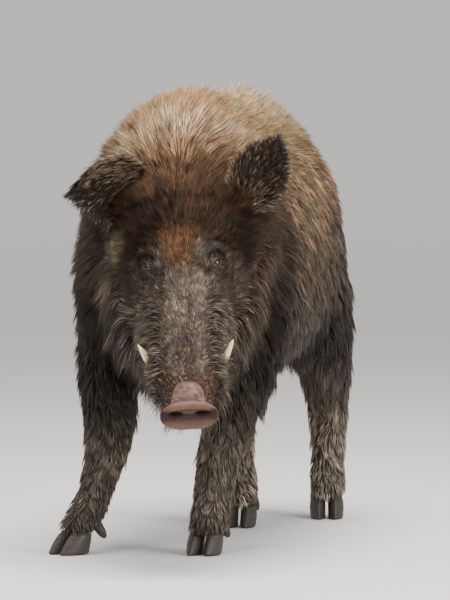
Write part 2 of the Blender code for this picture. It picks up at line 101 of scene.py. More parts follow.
class Part(IntEnum):
    """The parts of the coat, as places in Coat.parts; the legs come in the order of LEGS."""

    CROWN = 0
    FACE = 1
    CHEEK = 2
    NECK = 3
    BACK = 4
    FLANK_LEFT = 5
    FLANK_RIGHT = 6
    BELLY = 7
    RUMP = 8
    FIRST_LEG = 9
    LAST_LEG = 12
    TAIL = 13


def smooth(x: Rows, low: float, high: float) -> Rows:
    """A smooth rise from 0 at low to 1 at high."""
    t = np.clip((x - low) / (high - low), 0.0, 1.0)
    return t * t * (3.0 - 2.0 * t)


def fall(x: Rows, low: float, high: float) -> Rows:
    """A smooth fall from 1 at low to 0 at high."""
    return 1.0 - smooth(x, low, high)


def between(x: Rows, start: float, low: float, high: float, end: float) -> Rows:
    """1 from low to high and 0 outside start and end, with smooth sides."""
    return smooth(x, start, low) * fall(x, high, end)


def bell(x: Rows, middle: float, width: float) -> Rows:
    """A bump that is 1 at its middle."""
    return np.exp(-(((x - middle) / width) ** 2))


def mix(first: Rows, second: Rows, share: Rows) -> Rows:
    """Goes from one value to another.

    Args:
        first: Value where share is 0, one number or one row for each point.
        second: Value where share is 1.
        share: One number for each point.

    Returns:
        The mixed values.
    """
    first, second, share = (np.asarray(value, float) for value in (first, second, share))
    if any(value.ndim and value.shape != share.shape for value in (first, second)):
        share = share[..., None]
    return first * (1.0 - share) + second * share


def unit(vectors: Rows) -> Rows:
    """The same directions with a length of one."""
    return vectors / np.maximum(np.linalg.norm(vectors, axis=-1, keepdims=True), 1e-12)


def stops(x: Rows, *pairs: tuple) -> Rows:
    """Numbers or colours on a line between stops.

    Args:
        x: Where to read.
        pairs: (place, value) in rising order of place.

    Returns:
        One value for each x.
    """
    places = [p[0] for p in pairs]
    values = np.array([p[1] for p in pairs], float)
    if values.ndim == 1:
        return np.interp(x, places, values)
    return np.stack([np.interp(x, places, values[:, k]) for k in range(values.shape[1])], axis=-1)


def columns(*parts: Rows) -> Rows:
    """Rows from their columns."""
    return np.stack(np.broadcast_arrays(*parts), axis=-1)


def curve(x: Rows, *pairs: tuple) -> Rows:
    """Numbers on a smooth curve through stops.

    Args:
        x: Where to read.
        pairs: (place, value) in rising order of place.

    Returns:
        One value for each x.
    """
    at, value = (np.array([p[k] for p in pairs], float) for k in (0, 1))
    slope = np.gradient(value, at)
    x = np.clip(x, at[0], at[-1])
    k = np.clip(np.searchsorted(at, x) - 1, 0, len(at) - 2)
    span = at[k + 1] - at[k]
    t = (x - at[k]) / span
    start = value[k] * (1 + 2 * t) * (1 - t) ** 2 + slope[k] * span * t * (1 - t) ** 2
    return start + value[k + 1] * t * t * (3 - 2 * t) + slope[k + 1] * span * t * t * (t - 1)


def lumps(points: Rows, size: float, seed: int = 0) -> Rows:
    """Smooth noise.

    Args:
        points: Where it is read, one row each.
        size: How far apart the lumps are.
        seed: Picks another pattern.

    Returns:
        One number from -1 to 1 for each point.
    """
    spot = points / size + 17.31 * (seed + 1)
    cell = np.floor(spot).astype(np.int64)
    t = spot - cell
    t = t * t * (3.0 - 2.0 * t)
    total = np.zeros(len(points))
    for corner in range(8):
        step = np.array([corner & 1, corner >> 1 & 1, corner >> 2 & 1])
        key = (cell + step) * np.array([73856093, 19349663, 83492791])
        code = (key[:, 0] ^ key[:, 1] ^ key[:, 2]) + seed * 1013904223
        code = ((code ^ (code >> 13)) * 1274126177) & 0x7FFFFFFF
        code = code ^ (code >> 16)
        weight = np.prod(np.where(step, t, 1.0 - t), axis=1)
        total += weight * ((code & 0xFFFF) / 32767.5 - 1.0)
    return total


def tree_of(mesh: Mesh, points: Rows) -> BVHTree:
    """A search tree of a mesh's faces, with its vertices at the points."""
    return BVHTree.FromPolygons(points.tolist(), [tuple(p.vertices) for p in mesh.polygons])


def places(mesh: Mesh) -> Rows:
    """The vertices of a mesh, one row each."""
    out = np.empty(len(mesh.vertices) * 3)
    mesh.vertices.foreach_get("co", out)
    return out.reshape(-1, 3)


def normals(mesh: Mesh) -> Rows:
    """The normals at the vertices of a mesh, one row each."""
    out = np.empty(len(mesh.vertices) * 3, np.float32)
    mesh.vertex_normals.foreach_get("vector", out)
    return out.reshape(-1, 3).astype(float)


def move(bm: BMesh, spots: Rows) -> None:
    """Moves the vertices of a bmesh."""
    for vertex, spot in zip(bm.verts, spots):
        vertex.co = spot


def set_places(mesh: Mesh, points: Rows) -> None:
    """Moves the vertices of a mesh."""
    mesh.vertices.foreach_set("co", np.ascontiguousarray(points, dtype=np.float32).ravel())
    mesh.update()


def set_colour(mesh: Mesh, colours: Rows) -> None:
    """Stores one colour for each vertex."""
    layer = mesh.color_attributes.new(COLOUR, "FLOAT_COLOR", "POINT")
    rows = np.ones((len(mesh.vertices), 4), np.float32)
    rows[:, :3] = np.clip(colours, 0.0, 1.0)
    layer.data.foreach_set("color", rows.ravel())


def set_damp(mesh: Mesh, damp: Rows) -> None:
    """Stores how wet each vertex is."""
    layer = mesh.attributes.new(DAMP, "FLOAT", "POINT")
    layer.data.foreach_set("value", np.clip(damp, 0.0, 1.0).astype(np.float32))


def add_object(name: str, data: bpy.types.ID) -> Object:
    """A named object in the scene for a mesh, a light or a camera."""
    obj = bpy.data.objects.new(name, data)
    bpy.context.scene.collection.objects.link(obj)
    return obj


def evaluated(obj: Object, name: str) -> Mesh:
    """A new mesh of an object with its modifiers, and the object removed.

    Args:
        obj: The object, which goes.
        name: Name of the new mesh.

    Returns:
        The new mesh.
    """
    graph = bpy.context.evaluated_depsgraph_get()
    graph.update()
    mesh = bpy.data.meshes.new_from_object(obj.evaluated_get(graph), depsgraph=graph)
    mesh.name = name
    bpy.data.objects.remove(obj)
    return mesh


def remeshed(obj: Object, voxel: float, rounds: int, name: str) -> Mesh:
    """An object's forms grown together into one closed and smoothed mesh.

    Args:
        obj: The object, which goes.
        voxel: Size of the new faces.
        rounds: How many times they are smoothed.
        name: Name of the new mesh.

    Returns:
        The new mesh.
    """
    grow = obj.modifiers.new("grow_together", "REMESH")
    grow.mode = "VOXEL"
    grow.voxel_size = voxel
    soften = obj.modifiers.new("soften", "SMOOTH")
    soften.factor = 0.5
    soften.iterations = rounds
    return evaluated(obj, name)


def mesh_from(bm: BMesh, name: str, rounded: bool = True) -> Mesh:
    """A mesh from a bmesh, with faces outward.

    Args:
        bm: The bmesh, which goes.
        name: Name of the mesh.
        rounded: Whether its faces are shaded smooth.

    Returns:
        The new mesh.
    """
    bmesh.ops.recalc_face_normals(bm, faces=bm.faces[:])
    if bm.calc_volume(signed=True) < 0:
        bmesh.ops.reverse_faces(bm, faces=bm.faces[:])
    mesh = bpy.data.meshes.new(name)
    bm.to_mesh(mesh)
    bm.free()
    mesh.shade_smooth() if rounded else mesh.shade_flat()
    return mesh


# Anatomy: where each part of the boar is


@dataclass(frozen=True)
class HeadPlace:
    """Where the head hangs, and its own frame: across, along from the snout, and up."""

    snout_tip: tuple = (0.095, -0.500, 0.291)
    pitch: float = math.radians(52)
    yaw: float = math.radians(10)
    roll: float = math.radians(-3)

    def matrix(self) -> Matrix:
        """From the head's frame to the row's."""
        tip = Vector(np.array(self.snout_tip) + FORELEGS)
        turn = Matrix.Rotation(self.yaw, 4, "Z") @ Matrix.Rotation(self.roll, 4, "Y")
        return Matrix.Translation(tip) @ turn @ Matrix.Rotation(self.pitch, 4, "X")

    def inward(self, points: Rows) -> Rows:
        """Points of the row's frame in the head's."""
        m = np.array(self.matrix().inverted())
        return points @ m[:3, :3].T + m[:3, 3]

    def outward(self, points: Rows) -> Rows:
        """Points of the head's frame in the row's."""
        m = np.array(self.matrix())
        return points @ m[:3, :3].T + m[:3, 3]

    def turned(self, vectors: Rows) -> Rows:
        """Directions of the head's frame in the row's."""
        return vectors @ np.array(self.matrix())[:3, :3].T


HEAD = HeadPlace()


@dataclass(frozen=True)
class Leg:
    """A leg's slices, as height, x, y, half width and half depth, and how far its toes turn."""

    name: str
    slices: tuple
    toe_out: float
    fades: tuple  # between these heights the leg becomes the trunk

    def around(self, points: Rows) -> tuple:
        """How near points are to the leg.

        Args:
            points: Points from the line of the forelegs.

        Returns:
            Distance from the leg's middle, where 1 is its side, and the angle round it.
        """
        rows = np.array(self.slices)[::-1]
        x, y, wide, deep = (np.interp(points[:, 2], rows[:, 0], rows[:, k]) for k in range(1, 5))
        across = (points[:, 0] - x) / wide
        along = (points[:, 1] - y) / deep
        return np.hypot(across, along), np.arctan2(along, across)

    def share(self, points: Rows) -> Rows:
        """How much of a point is leg, from 0 to 1."""
        near = fall(self.around(points)[0], 1.08, 1.45)
        return near * fall(points[:, 2], *self.fades)

    def foot(self) -> Matrix:
        """The place of the foot on the floor, turned as its toes are."""
        _, x, y, _, _ = self.slices[-1]
        spot = Vector((x + FORELEGS[0], y + FORELEGS[1], 0.0))
        return Matrix.Translation(spot) @ Matrix.Rotation(self.toe_out, 4, "Z")


LEGS = (
    Leg("front_left", (
        (0.460, 0.134, 0.020, 0.078, 0.118), (0.380, 0.120, 0.010, 0.069, 0.094),
        (0.300, 0.100, -0.012, 0.062, 0.072), (0.220, 0.078, -0.030, 0.052, 0.056),
        (0.170, 0.066, -0.037, 0.045, 0.049), (0.120, 0.058, -0.040, 0.039, 0.042),
        (0.080, 0.053, -0.045, 0.040, 0.044), (0.030, 0.047, -0.058, 0.043, 0.047),
    ), math.radians(-8), (0.34, 0.46)),
    Leg("front_right", (
        (0.460, -0.148, 0.020, 0.078, 0.118), (0.380, -0.150, 0.012, 0.069, 0.094),
        (0.300, -0.147, -0.012, 0.061, 0.072), (0.220, -0.146, -0.035, 0.050, 0.055),
        (0.170, -0.152, -0.048, 0.043, 0.047), (0.120, -0.166, -0.060, 0.037, 0.041),
        (0.080, -0.181, -0.074, 0.039, 0.044), (0.030, -0.200, -0.094, 0.042, 0.047),
    ), math.radians(-38), (0.34, 0.46)),
    Leg("hind_left", (
        (0.500, 0.130, 0.665, 0.082, 0.162), (0.420, 0.140, 0.680, 0.077, 0.140),
        (0.350, 0.144, 0.712, 0.066, 0.106), (0.290, 0.145, 0.756, 0.056, 0.077),
        (0.240, 0.145, 0.796, 0.047, 0.061), (0.190, 0.145, 0.803, 0.042, 0.050),
        (0.130, 0.145, 0.794, 0.037, 0.041), (0.080, 0.146, 0.783, 0.038, 0.044),
        (0.030, 0.147, 0.766, 0.041, 0.047),
    ), math.radians(10), (0.40, 0.54)),
    Leg("hind_right", (
        (0.500, -0.118, 0.625, 0.082, 0.162), (0.420, -0.098, 0.590, 0.077, 0.140),
        (0.350, -0.070, 0.585, 0.066, 0.106), (0.290, -0.045, 0.600, 0.056, 0.077),
        (0.240, -0.026, 0.615, 0.047, 0.061), (0.190, -0.013, 0.605, 0.042, 0.050),
        (0.130, -0.003, 0.582, 0.037, 0.041), (0.080, 0.003, 0.562, 0.038, 0.044),
        (0.030, 0.008, 0.543, 0.041, 0.047),
    ), math.radians(2), (0.40, 0.54)),
)


@dataclass(frozen=True)
class EyePlace:
    """The left eye in the head's frame; the right one mirrors it."""

    centre: tuple = (0.0597, 0.3034, 0.0533)
    radius: float = 0.0135
    gaze: tuple = (0.44, -0.36, 0.82)
    slit: tuple = (-0.55, -0.83, 0.0)  # from the outer corner towards the inner one
    half_length: float = 0.0110
    half_height: float = 0.0042

    def axes(self) -> tuple:
        """Along the slit, across it, and out of the eye."""
        gaze = unit(np.array(self.gaze))
        slit = np.array(self.slit)
        slit = unit(slit - gaze * slit.dot(gaze))
        return slit, np.cross(gaze, slit), gaze

    def up(self) -> float:
        """1 where the way across the slit leads to the brow, or else -1."""
        return 1.0 if self.axes()[1][1] > 0 else -1.0

    def seen(self, head: Rows) -> tuple:
        """Points of the head as seen from the eye on their own side.

        Args:
            head: Points in the head's frame.

        Returns:
            Distances along the slit, across it and outward.
        """
        there = columns(np.abs(head[:, 0]), head[:, 1], head[:, 2]) - np.array(self.centre)
        slit, over, gaze = self.axes()
        return there @ slit, there @ over, there @ gaze

    def opening(self, along: Rows) -> Rows:
        """Half the height of the opening at a place along the slit."""
        inside = np.clip(1.0 - (along / self.half_length) ** 2, 0.0, 1.0)
        return self.half_height * inside**0.8

    def beyond(self, head: Rows) -> Rows:
        """How far points of the head lie outside the opening, or 1 behind the eye."""
        along, over, out = self.seen(head)
        far = np.hypot(np.maximum(np.abs(along) - 0.9 * self.half_length, 0.0),
                       np.maximum(np.abs(over) - self.opening(along), 0.0))
        return np.where(out > -0.002, far, 1.0)


EYE = EyePlace()


def snout_patch(v: Rows, s: Rows) -> Rows:
    """The bare skin above the disc, across and along: 0 at its middle and 1 at its edge."""
    return (v / (0.034 - 0.16 * (s - 0.012))) ** 4 + (np.maximum(s - 0.012, 0.0) / 0.044) ** 4


def nostril(v: Rows, u: Rows, level: float) -> Rows:
    """A nostril in the disc, across and up: 0 at its middle and 1 at its edge."""
    return ((np.abs(v) - 0.0245) / 0.0155) ** 2 + ((u - level) / 0.0060) ** 2


@dataclass
class Region:
    """What each point of the boar belongs to, in shares from 0 to 1."""

    points: Rows  # in the row's frame
    normal: Rows
    body: Rows = field(init=False)  # from the line of the forelegs
    head: Rows = field(init=False)  # across, along and up in the head's frame
    in_head: Rows = field(init=False)
    in_leg: Rows = field(init=False)
    in_neck: Rows = field(init=False)
    in_tail: Rows = field(init=False)
    cheek: Rows = field(init=False)
    jaw: Rows = field(init=False)
    beside: Rows = field(init=False)  # the sides of the muzzle
    height: Rows = field(init=False)  # from the belly, 0, to the back, 1
    bare: Rows = field(init=False)  # skin without hair
    hanging: Rows = field(init=False)  # undersides, where the hair hangs
    by_tusk: Rows = field(init=False)

    def __post_init__(self) -> None:
        """Works out the shares."""
        self.body = self.points - FORELEGS
        self.head = HEAD.inward(self.points)
        _, y, z = self.body.T
        v, s, u = self.head.T
        self.in_head = fall(s, 0.40, 0.50) * smooth(u, -0.205, -0.165) * smooth(-y, 0.08, 0.15)
        self.in_leg = np.max([leg.share(self.body) for leg in LEGS], axis=0) * (1.0 - self.in_head)
        self.in_neck = smooth(-y, -0.04, 0.10) * (1.0 - self.in_head) * (1.0 - self.in_leg)
        self.in_tail = smooth(y, 0.900, 0.925) * fall(z, 0.68, 0.73)
        top = stops(y, (-0.135, 0.79), (-0.07, 0.868), (0.02, 0.897), (0.34, 0.873), (0.52, 0.884),
                    (0.64, 0.884), (0.775, 0.832), (0.86, 0.752), (0.905, 0.68))
        bottom = stops(y, (-0.135, 0.375), (0.02, 0.308), (0.34, 0.302), (0.52, 0.326),
                       (0.64, 0.38), (0.775, 0.445), (0.86, 0.51), (0.905, 0.59))
        self.height = np.clip((z - bottom) / (top - bottom), 0.0, 1.0)
        low = smooth(-u, -0.015, 0.045) * smooth(np.abs(v), 0.04, 0.07)
        self.cheek = low * smooth(s, 0.15, 0.24) * self.in_head
        self.jaw = smooth(-u, 0.016, 0.036) * smooth(s, 0.022, 0.045) * self.in_head
        beside = smooth(np.abs(v) + 0.25 * (0.02 - u), 0.022, 0.050) * (u < 0.075)
        self.beside = beside * between(s, 0.055, 0.085, 0.19, 0.27) * self.in_head
        dome = fall(snout_patch(v, s), 0.65, 1.15)
        disc = fall(s - DISC_TILT * np.maximum(u, 0.0), 0.010, 0.017)
        self.bare = np.maximum(dome * smooth(u, 0.005, 0.015), disc) * self.in_head
        self.hanging = smooth(-self.normal[:, 2], 0.15, 0.65) * (1.0 - self.in_leg)
        tusk = columns(np.abs(v) - 0.062, s - 0.130, u - 0.004)
        self.by_tusk = np.exp(-np.sum((tusk / 0.028) ** 2, axis=1)) * self.in_head

    def depth(self) -> Rows:
        """How far the skin lies under the tips of the coat."""
        z = self.body[:, 2]
        s = self.head[:, 1]
        trunk = stops(self.height, (0.0, 0.028), (0.2, 0.022), (0.45, 0.018), (0.7, 0.019),
                      (0.9, 0.025), (1.0, 0.028))
        trunk = mix(trunk, 0.026, self.in_neck)
        leg = stops(z, (0.04, 0.0015), (0.08, 0.003), (0.15, 0.005), (0.22, 0.008), (0.30, 0.012),
                    (0.40, 0.015), (0.50, 0.018))
        face = stops(s, (0.03, 0.0), (0.06, 0.0025), (0.20, 0.0035), (0.30, 0.004), (0.34, 0.007),
                     (0.38, 0.014), (0.42, 0.021), (0.50, 0.024))
        face = mix(face, np.maximum(face, 0.011), np.maximum(self.cheek, self.jaw))
        out = mix(mix(trunk, leg, self.in_leg), face, self.in_head)
        return mix(out, 0.007, self.in_tail)

    def length(self) -> Rows:
        """How long the hair is."""
        z = self.body[:, 2]
        s = self.head[:, 1]
        trunk = stops(self.height, (0.0, 0.060), (0.2, 0.058), (0.45, 0.052), (0.7, 0.045),
                      (0.9, 0.042), (1.0, 0.046))
        trunk = mix(trunk, mix(np.full(len(z), 0.044), 0.085, self.hanging), self.in_neck)
        leg = stops(z, (0.04, 0.021), (0.07, 0.023), (0.15, 0.029), (0.22, 0.036), (0.30, 0.050),
                    (0.40, 0.062), (0.50, 0.066))
        face = stops(s, (0.03, 0.007), (0.08, 0.011), (0.20, 0.015), (0.28, 0.016), (0.33, 0.021),
                     (0.37, 0.028), (0.41, 0.036), (0.50, 0.040))
        for least, share in ((0.032, self.beside), (0.052, self.cheek), (0.070, self.jaw)):
            face = mix(face, np.maximum(face, least), share)
        face = face * (1.0 - 0.7 * self.by_tusk)
        out = mix(mix(trunk, leg, self.in_leg), face, self.in_head)
        return mix(out, 0.035, self.in_tail)

    def damp(self) -> Rows:
        """How wet the coat is."""
        out = stops(self.height, (0.0, 1.0), (0.35, 0.9), (0.55, 0.5), (0.75, 0.15), (1.0, 0.0))
        out = mix(out, 1.0, self.in_leg)
        s = self.head[:, 1]
        face = mix(0.45 + 0.2 * self.cheek, 0.05, smooth(s, 0.33, 0.42))
        return mix(out, face, self.in_head)

    def lift(self) -> Rows:
        """The angle at which the hair leaves the skin."""
        s = self.head[:, 1]
        stand = np.arcsin(np.clip(self.depth() / np.maximum(self.length(), 0.004), 0.08, 0.75))
        face = stops(s, (0.03, 0.16), (0.28, 0.14), (0.33, 0.28), (0.37, 0.46), (0.42, 0.64), (0.47, 0.60))
        for angle, share in ((0.62, self.beside), (0.60, self.cheek), (0.75, self.jaw)):
            face = mix(face, angle, share)
        face = face * (1.0 - 0.8 * self.by_tusk)
        low = self.in_leg * fall(self.body[:, 2], 0.20, 0.32)
        cuff = 0.50 * fall(self.body[:, 2], 0.055, 0.090)
        stand = mix(stand, np.maximum(cuff, 0.20), 0.9 * low)
        out = mix(stand, face, self.in_head)
        return mix(out, 1.10, 0.8 * self.hanging * np.maximum(self.in_neck, self.jaw))

    def flow(self) -> Rows:
        """Which way the hair lies, along the skin."""
        x = self.body[:, 0]
        v, s, _ = self.head.T
        n = self.normal
        steep = stops(self.height, (0.0, 0.9), (0.25, 1.6), (0.5, 1.3), (0.75, 0.6), (0.9, 0.25),
                     (1.0, 0.1))
        trunk = columns(0.0, 1.0, -steep)
        ends = smooth(np.abs(n[:, 1]), 0.45, 0.85)
        trunk = mix(trunk, (0.0, 0.15, -1.0), ends * fall(n[:, 2], 0.2, 0.6))
        side = mix((0.0, 0.55, -0.85), (0.0, 0.9, 0.25), smooth(n[:, 2], 0.0, 0.5))
        neck = mix(side, (0.0, 0.1, -1.0), smooth(-n[:, 2], 0.1, 0.6))
        neck[:, 0] += 0.45 * np.sign(x) * smooth(np.abs(x), 0.02, 0.12)
        trunk = mix(mix(trunk, neck, self.in_neck), (0.0, 0.12, -1.0), self.in_leg)
        outward = np.sign(v) * smooth(np.abs(v), 0.006, 0.05)
        fan = stops(s, (0.06, 0.55), (0.14, 0.30), (0.28, 0.10), (0.33, 0.22), (0.42, 0.50))
        face = columns(outward * fan, 1.0, 0.7 * smooth(s, 0.34, 0.42))
        slit, over, gaze = EYE.seen(self.head)
        near_eye = bell(np.hypot(slit, over), 0.0, 0.020) * (gaze > -0.01)
        _, up, _ = EYE.axes()
        away = columns(up[0] * np.sign(v), up[1], up[2])
        face = HEAD.turned(unit(mix(unit(face), away * np.sign(over)[:, None], 0.5 * near_eye)))
        temple = smooth(np.abs(v), 0.075, 0.11) * smooth(s, 0.26, 0.32)
        ways = ((0.7, 0.5, 0.1, 0.8 * temple), (0.85, 0.20, -0.40, self.beside),
                (0.65, 0.35, -0.62, self.cheek), (0.40, 0.15, -1.0, self.jaw))
        for aside, on, above, share in ways:
            face = mix(face, columns(aside * np.sign(v), on, above), share)
        face = mix(unit(face), HEAD.turned(np.array((0.0, 0.9, 0.1)))[None], self.by_tusk)
        out = mix(trunk, unit(face), self.in_head)
        out = unit(mix(out, (0.0, 0.05, -1.0), self.in_tail))
        out = unit(out - n * np.sum(out * n, axis=1, keepdims=True))
        across = np.cross(n, out)
        wavy = np.max([self.cheek, self.beside, self.jaw], axis=0)
        sway = 0.45 * lumps(self.points, 0.055, 1) + 0.38 * lumps(self.points, 0.017, 2)
        sway *= mix(np.ones(len(x)), 1.35, wavy)
        return unit(out + across * sway[:, None])


@dataclass(frozen=True)
class Markings:
    """The colours of the boar's skin and coat, as functions of its anatomy, with painted sunlight, shade and
    glints in places.
    """

    straw: tuple = (0.56, 0.345, 0.165)
    tan: tuple = (0.44, 0.285, 0.152)
    brown: tuple = (0.27, 0.175, 0.100)
    umber: tuple = (0.125, 0.083, 0.052)
    soot: tuple = (0.080, 0.060, 0.046)
    black: tuple = (0.028, 0.022, 0.018)
    rust: tuple = (0.125, 0.054, 0.020)
    # grey hair tips of the face, partly grizzle and partly painted sheen of wet hair
    grizzle_and_sheen: tuple = (0.145, 0.112, 0.088)
    # painted sunlight on the top of the rump
    painted_sunlight: tuple = (0.92, 0.64, 0.40)  # the top of the rump
    mask: tuple = (0.072, 0.054, 0.042)
    bridge: tuple = (0.050, 0.032, 0.021)  # the dark middle of the muzzle
    temple: tuple = (0.060, 0.042, 0.030)
    ruff: tuple = (0.10, 0.066, 0.042)  # the outer edge of the jowl
    beside: tuple = (0.115, 0.088, 0.067)  # the sides of the muzzle
    brow: tuple = (0.026, 0.018, 0.013)
    nose: tuple = (0.10, 0.045, 0.027)  # the hair next to the disc
    tuft: tuple = (0.50, 0.40, 0.25)  # pale hair below the right ear
    flush: tuple = (0.215, 0.138, 0.120)  # the bare skin above the disc
    blotch: tuple = (0.078, 0.047, 0.041)
    rim: tuple = (0.130, 0.072, 0.050)
    # painted shade in the crease behind the disc's rim
    crease: tuple = (0.085, 0.045, 0.035)
    border: tuple = (0.16, 0.065, 0.045)
    # near black: painted shade inside the nostrils
    nostril: tuple = (0.010, 0.006, 0.005)
    lid: tuple = (0.045, 0.034, 0.029)
    eye_bag: tuple = (0.095, 0.074, 0.062)
    lid_edge: tuple = (0.022, 0.013, 0.011)
    eye_corner: tuple = (0.20, 0.045, 0.032)
    # painted glint of the wet tear streak
    wet_tear_glint: tuple = (0.42, 0.37, 0.34)

    def tips(self, r: Region) -> Rows:
        """The colour at the tips of the hair.

        Args:
            r: The points.

        Returns:
            One colour for each point.
        """
        x, y, z = r.body.T
        v, s, u = r.head.T
        near = 0.06 * lumps(r.points, 0.09, 5)
        back = stops(r.height + near, (0.0, self.black), (0.3, self.soot), (0.5, self.umber),
                     (0.68, self.brown), (0.84, self.tan), (1.0, self.straw))
        nape = stops(r.normal[:, 2] + 2 * near, (-0.2, self.black), (0.15, self.soot), (0.32, self.umber),
                     (0.48, self.brown), (0.62, (0.33, 0.200, 0.105)), (0.80, (0.42, 0.250, 0.118)))
        # The hind part of the back is brightened by half towards its top and paled there: painted sunlight.
        back = back * mix(np.ones(len(x)), 1.5, smooth(y, 0.25, 0.6) * smooth(r.height, 0.4, 0.8))[:, None]
        pale = 0.5 * smooth(y, 0.25, 0.6) * smooth(r.height + near, 0.72, 0.98)
        back = mix(back, self.painted_sunlight, pale)
        streak = lumps(columns(v, 0.15 * s, 0.15 * u), 0.0055, 6)
        # The crown's colours along the head: the pale crest at 0.575 is frosted hair tips, and the darker
        # step behind it at 0.65 is painted shade.
        crown = stops(s + 0.25 * near, (0.31, (0.026, 0.014, 0.008)), (0.365, (0.024, 0.012, 0.006)),
                      (0.41, (0.026, 0.013, 0.007)), (0.435, (0.052, 0.027, 0.013)),
                      (0.46, (0.100, 0.054, 0.028)), (0.49, (0.160, 0.092, 0.050)),
                      (0.52, (0.26, 0.160, 0.092)), (0.55, (0.33, 0.212, 0.126)),
                      (0.575, (0.47, 0.312, 0.190)), (0.65, (0.37, 0.235, 0.130)))
        crown = crown * np.exp(0.70 * streak * smooth(s, 0.33, 0.37))[:, None]
        nape = mix(nape, crown, fall(s, 0.59, 0.66) * smooth(u + near, -0.03, 0.03))
        back = mix(back, nape, smooth(-y, -0.04, 0.10))
        limb = stops(z, (0.03, (0.16, 0.134, 0.108)), (0.19, (0.15, 0.122, 0.097)),
                     (0.28, (0.055, 0.043, 0.034)), (0.38, (0.013, 0.010, 0.008)), (0.50, self.black))
        light = mix(mix(np.full(len(x), 0.85), 1.25, smooth(x, 0.0, 0.05)), 2.3, smooth(y, 0.3, 0.5))
        back = mix(back, limb * light[:, None], r.in_leg)
        bridge = fall(np.abs(v), 0.022, 0.048) * fall(s, 0.245, 0.285)
        bridge *= smooth(s, 0.045, 0.09)
        middle = fall(np.abs(v), 0.012, 0.024) * between(s, 0.05, 0.07, 0.13, 0.17)
        # The bridge's grey is partly grizzled tips and partly painted sheen of wet hair, with a dark middle.
        shade = mix(self.grizzle_and_sheen, self.bridge, middle)
        face = mix(self.mask, shade, 0.75 * bridge)
        face = face * np.exp(0.65 * streak * (1.0 - r.beside))[:, None]
        temple = mix(self.temple, crown, smooth(u + near, -0.02, 0.04))
        face = mix(face, temple, smooth(s, 0.31, 0.34))
        patch = fall(np.abs(v + 0.006) - 0.50 * (s - 0.266) + 0.25 * near, -0.006, 0.014)
        patch *= between(s, 0.262, 0.278, 0.325, 0.36) * smooth(u, 0.02, 0.05)
        face = mix(face, np.array(self.rust) * np.exp(0.35 * streak)[:, None], 0.8 * patch)
        jowl = mix(self.black, self.soot, smooth(u, -0.09, -0.02))
        edge = smooth(np.abs(v), 0.085, 0.11) * smooth(s, 0.20, 0.28) * smooth(u, -0.12, -0.04)
        jowl = mix(jowl, self.ruff, edge * smooth(v, -0.05, 0.05))
        face = mix(face, self.beside, r.beside)
        face = mix(face, jowl, np.maximum(r.cheek, r.jaw))
        slit, over, gaze = EYE.seen(r.head)
        ring = np.hypot(slit, over)
        brow = bell(ring, 0.022, 0.012) * smooth(over * EYE.up(), -0.008, 0.004) * (gaze > 0)
        face = mix(face, self.brow, 0.8 * brow)
        nose = smooth(-s, -0.085, -0.060) * smooth(u, 0.0, 0.02)
        face = mix(face, self.nose, 0.6 * nose)
        tuft = bell(v, -0.112, 0.014) * bell(s, 0.365, 0.020)
        face = mix(face, self.tuft, 0.6 * tuft)
        return mix(back, face, r.in_head)

    def roots(self, tips: Rows) -> Rows:
        """The colour at the roots of the hair, darker than the tips."""
        light = np.clip(tips.mean(axis=1) / 0.3, 0.0, 1.0)
        return tips * mix(np.full(len(tips), 0.50), 0.15, light)[:, None]

    def skin(self, r: Region) -> tuple:
        """The colour and wetness of the skin.

        Args:
            r: The points.

        Returns:
            One colour and one wetness for each point.
        """
        v, s, u = r.head.T
        # Under the coat the skin takes the roots' colour darkened to 0.6: painted shade, so gaps between the
        # locks look shadowed.
        colour = self.roots(self.tips(r)) * 0.6
        damp = 0.10 * np.ones(len(v))
        mottle = lumps(r.points, 0.006, 7) + 0.5 * lumps(r.points, 0.0025, 8)
        dome = mix(self.flush, self.blotch, np.clip(0.5 + 0.7 * mottle, 0.0, 1.0))
        # The disc's colour by height; the near-black band from about -0.003 to 0.0175, at the nostrils, is
        # painted shadow under the overhanging top rim.
        level = stops(u, (-0.030, (0.155, 0.098, 0.074)), (-0.022, (0.125, 0.077, 0.057)),
                      (-0.009, (0.082, 0.046, 0.033)), (-0.003, (0.035, 0.014, 0.009)),
                      (0.014, (0.014, 0.006, 0.004)), (0.0175, (0.035, 0.016, 0.010)),
                      (0.0215, (0.11, 0.064, 0.045)), (0.0250, self.rim))
        flat = s - DISC_TILT * u
        edge = smooth(flat, 0.0020, 0.0038) * smooth(u, -0.01, 0.016)
        disc = mix(level, self.rim, 0.75 * edge)
        disc = disc * (1.0 + 0.14 * mottle[:, None])
        naked = mix(disc, dome, smooth(flat, 0.006, 0.011))
        # A darker line in the crease behind the disc's rim: painted shade.
        naked = mix(naked, self.crease, 0.7 * bell(flat, 0.0145, 0.0035))
        border = 0.75 * smooth(snout_patch(v, s), 0.15, 0.8) * (s > 0.011)
        naked = mix(naked, self.border, border)
        # Near black inside the nostrils: painted shade of the holes.
        inside = fall(nostril(v, u, 0.0070), 0.55, 1.15) * (flat < 0.02)
        naked = mix(naked, self.nostril, inside)
        colour = mix(colour, naked, r.bare)
        damp = mix(damp, mix(np.full(len(v), 0.40), 0.80, smooth(flat, 0.006, 0.012)), r.bare)
        along, over, out = EYE.seen(r.head)
        ring = np.hypot(along, over)
        lid = fall(ring, 0.013, 0.021) * (out > 0)
        colour = mix(colour, self.lid, lid)
        below = bell(along, 0.006, 0.011) * bell(over, -0.014, 0.007)
        colour = mix(colour, self.eye_bag, below * (out > 0) * r.in_head)
        rimmed = fall(EYE.beyond(r.head), 0.0008, 0.0022) * r.in_head
        colour = mix(colour, self.lid_edge, rimmed)
        corner = smooth(along, 0.0085, 0.0105) * rimmed
        colour = mix(colour, self.eye_corner, 0.8 * corner)
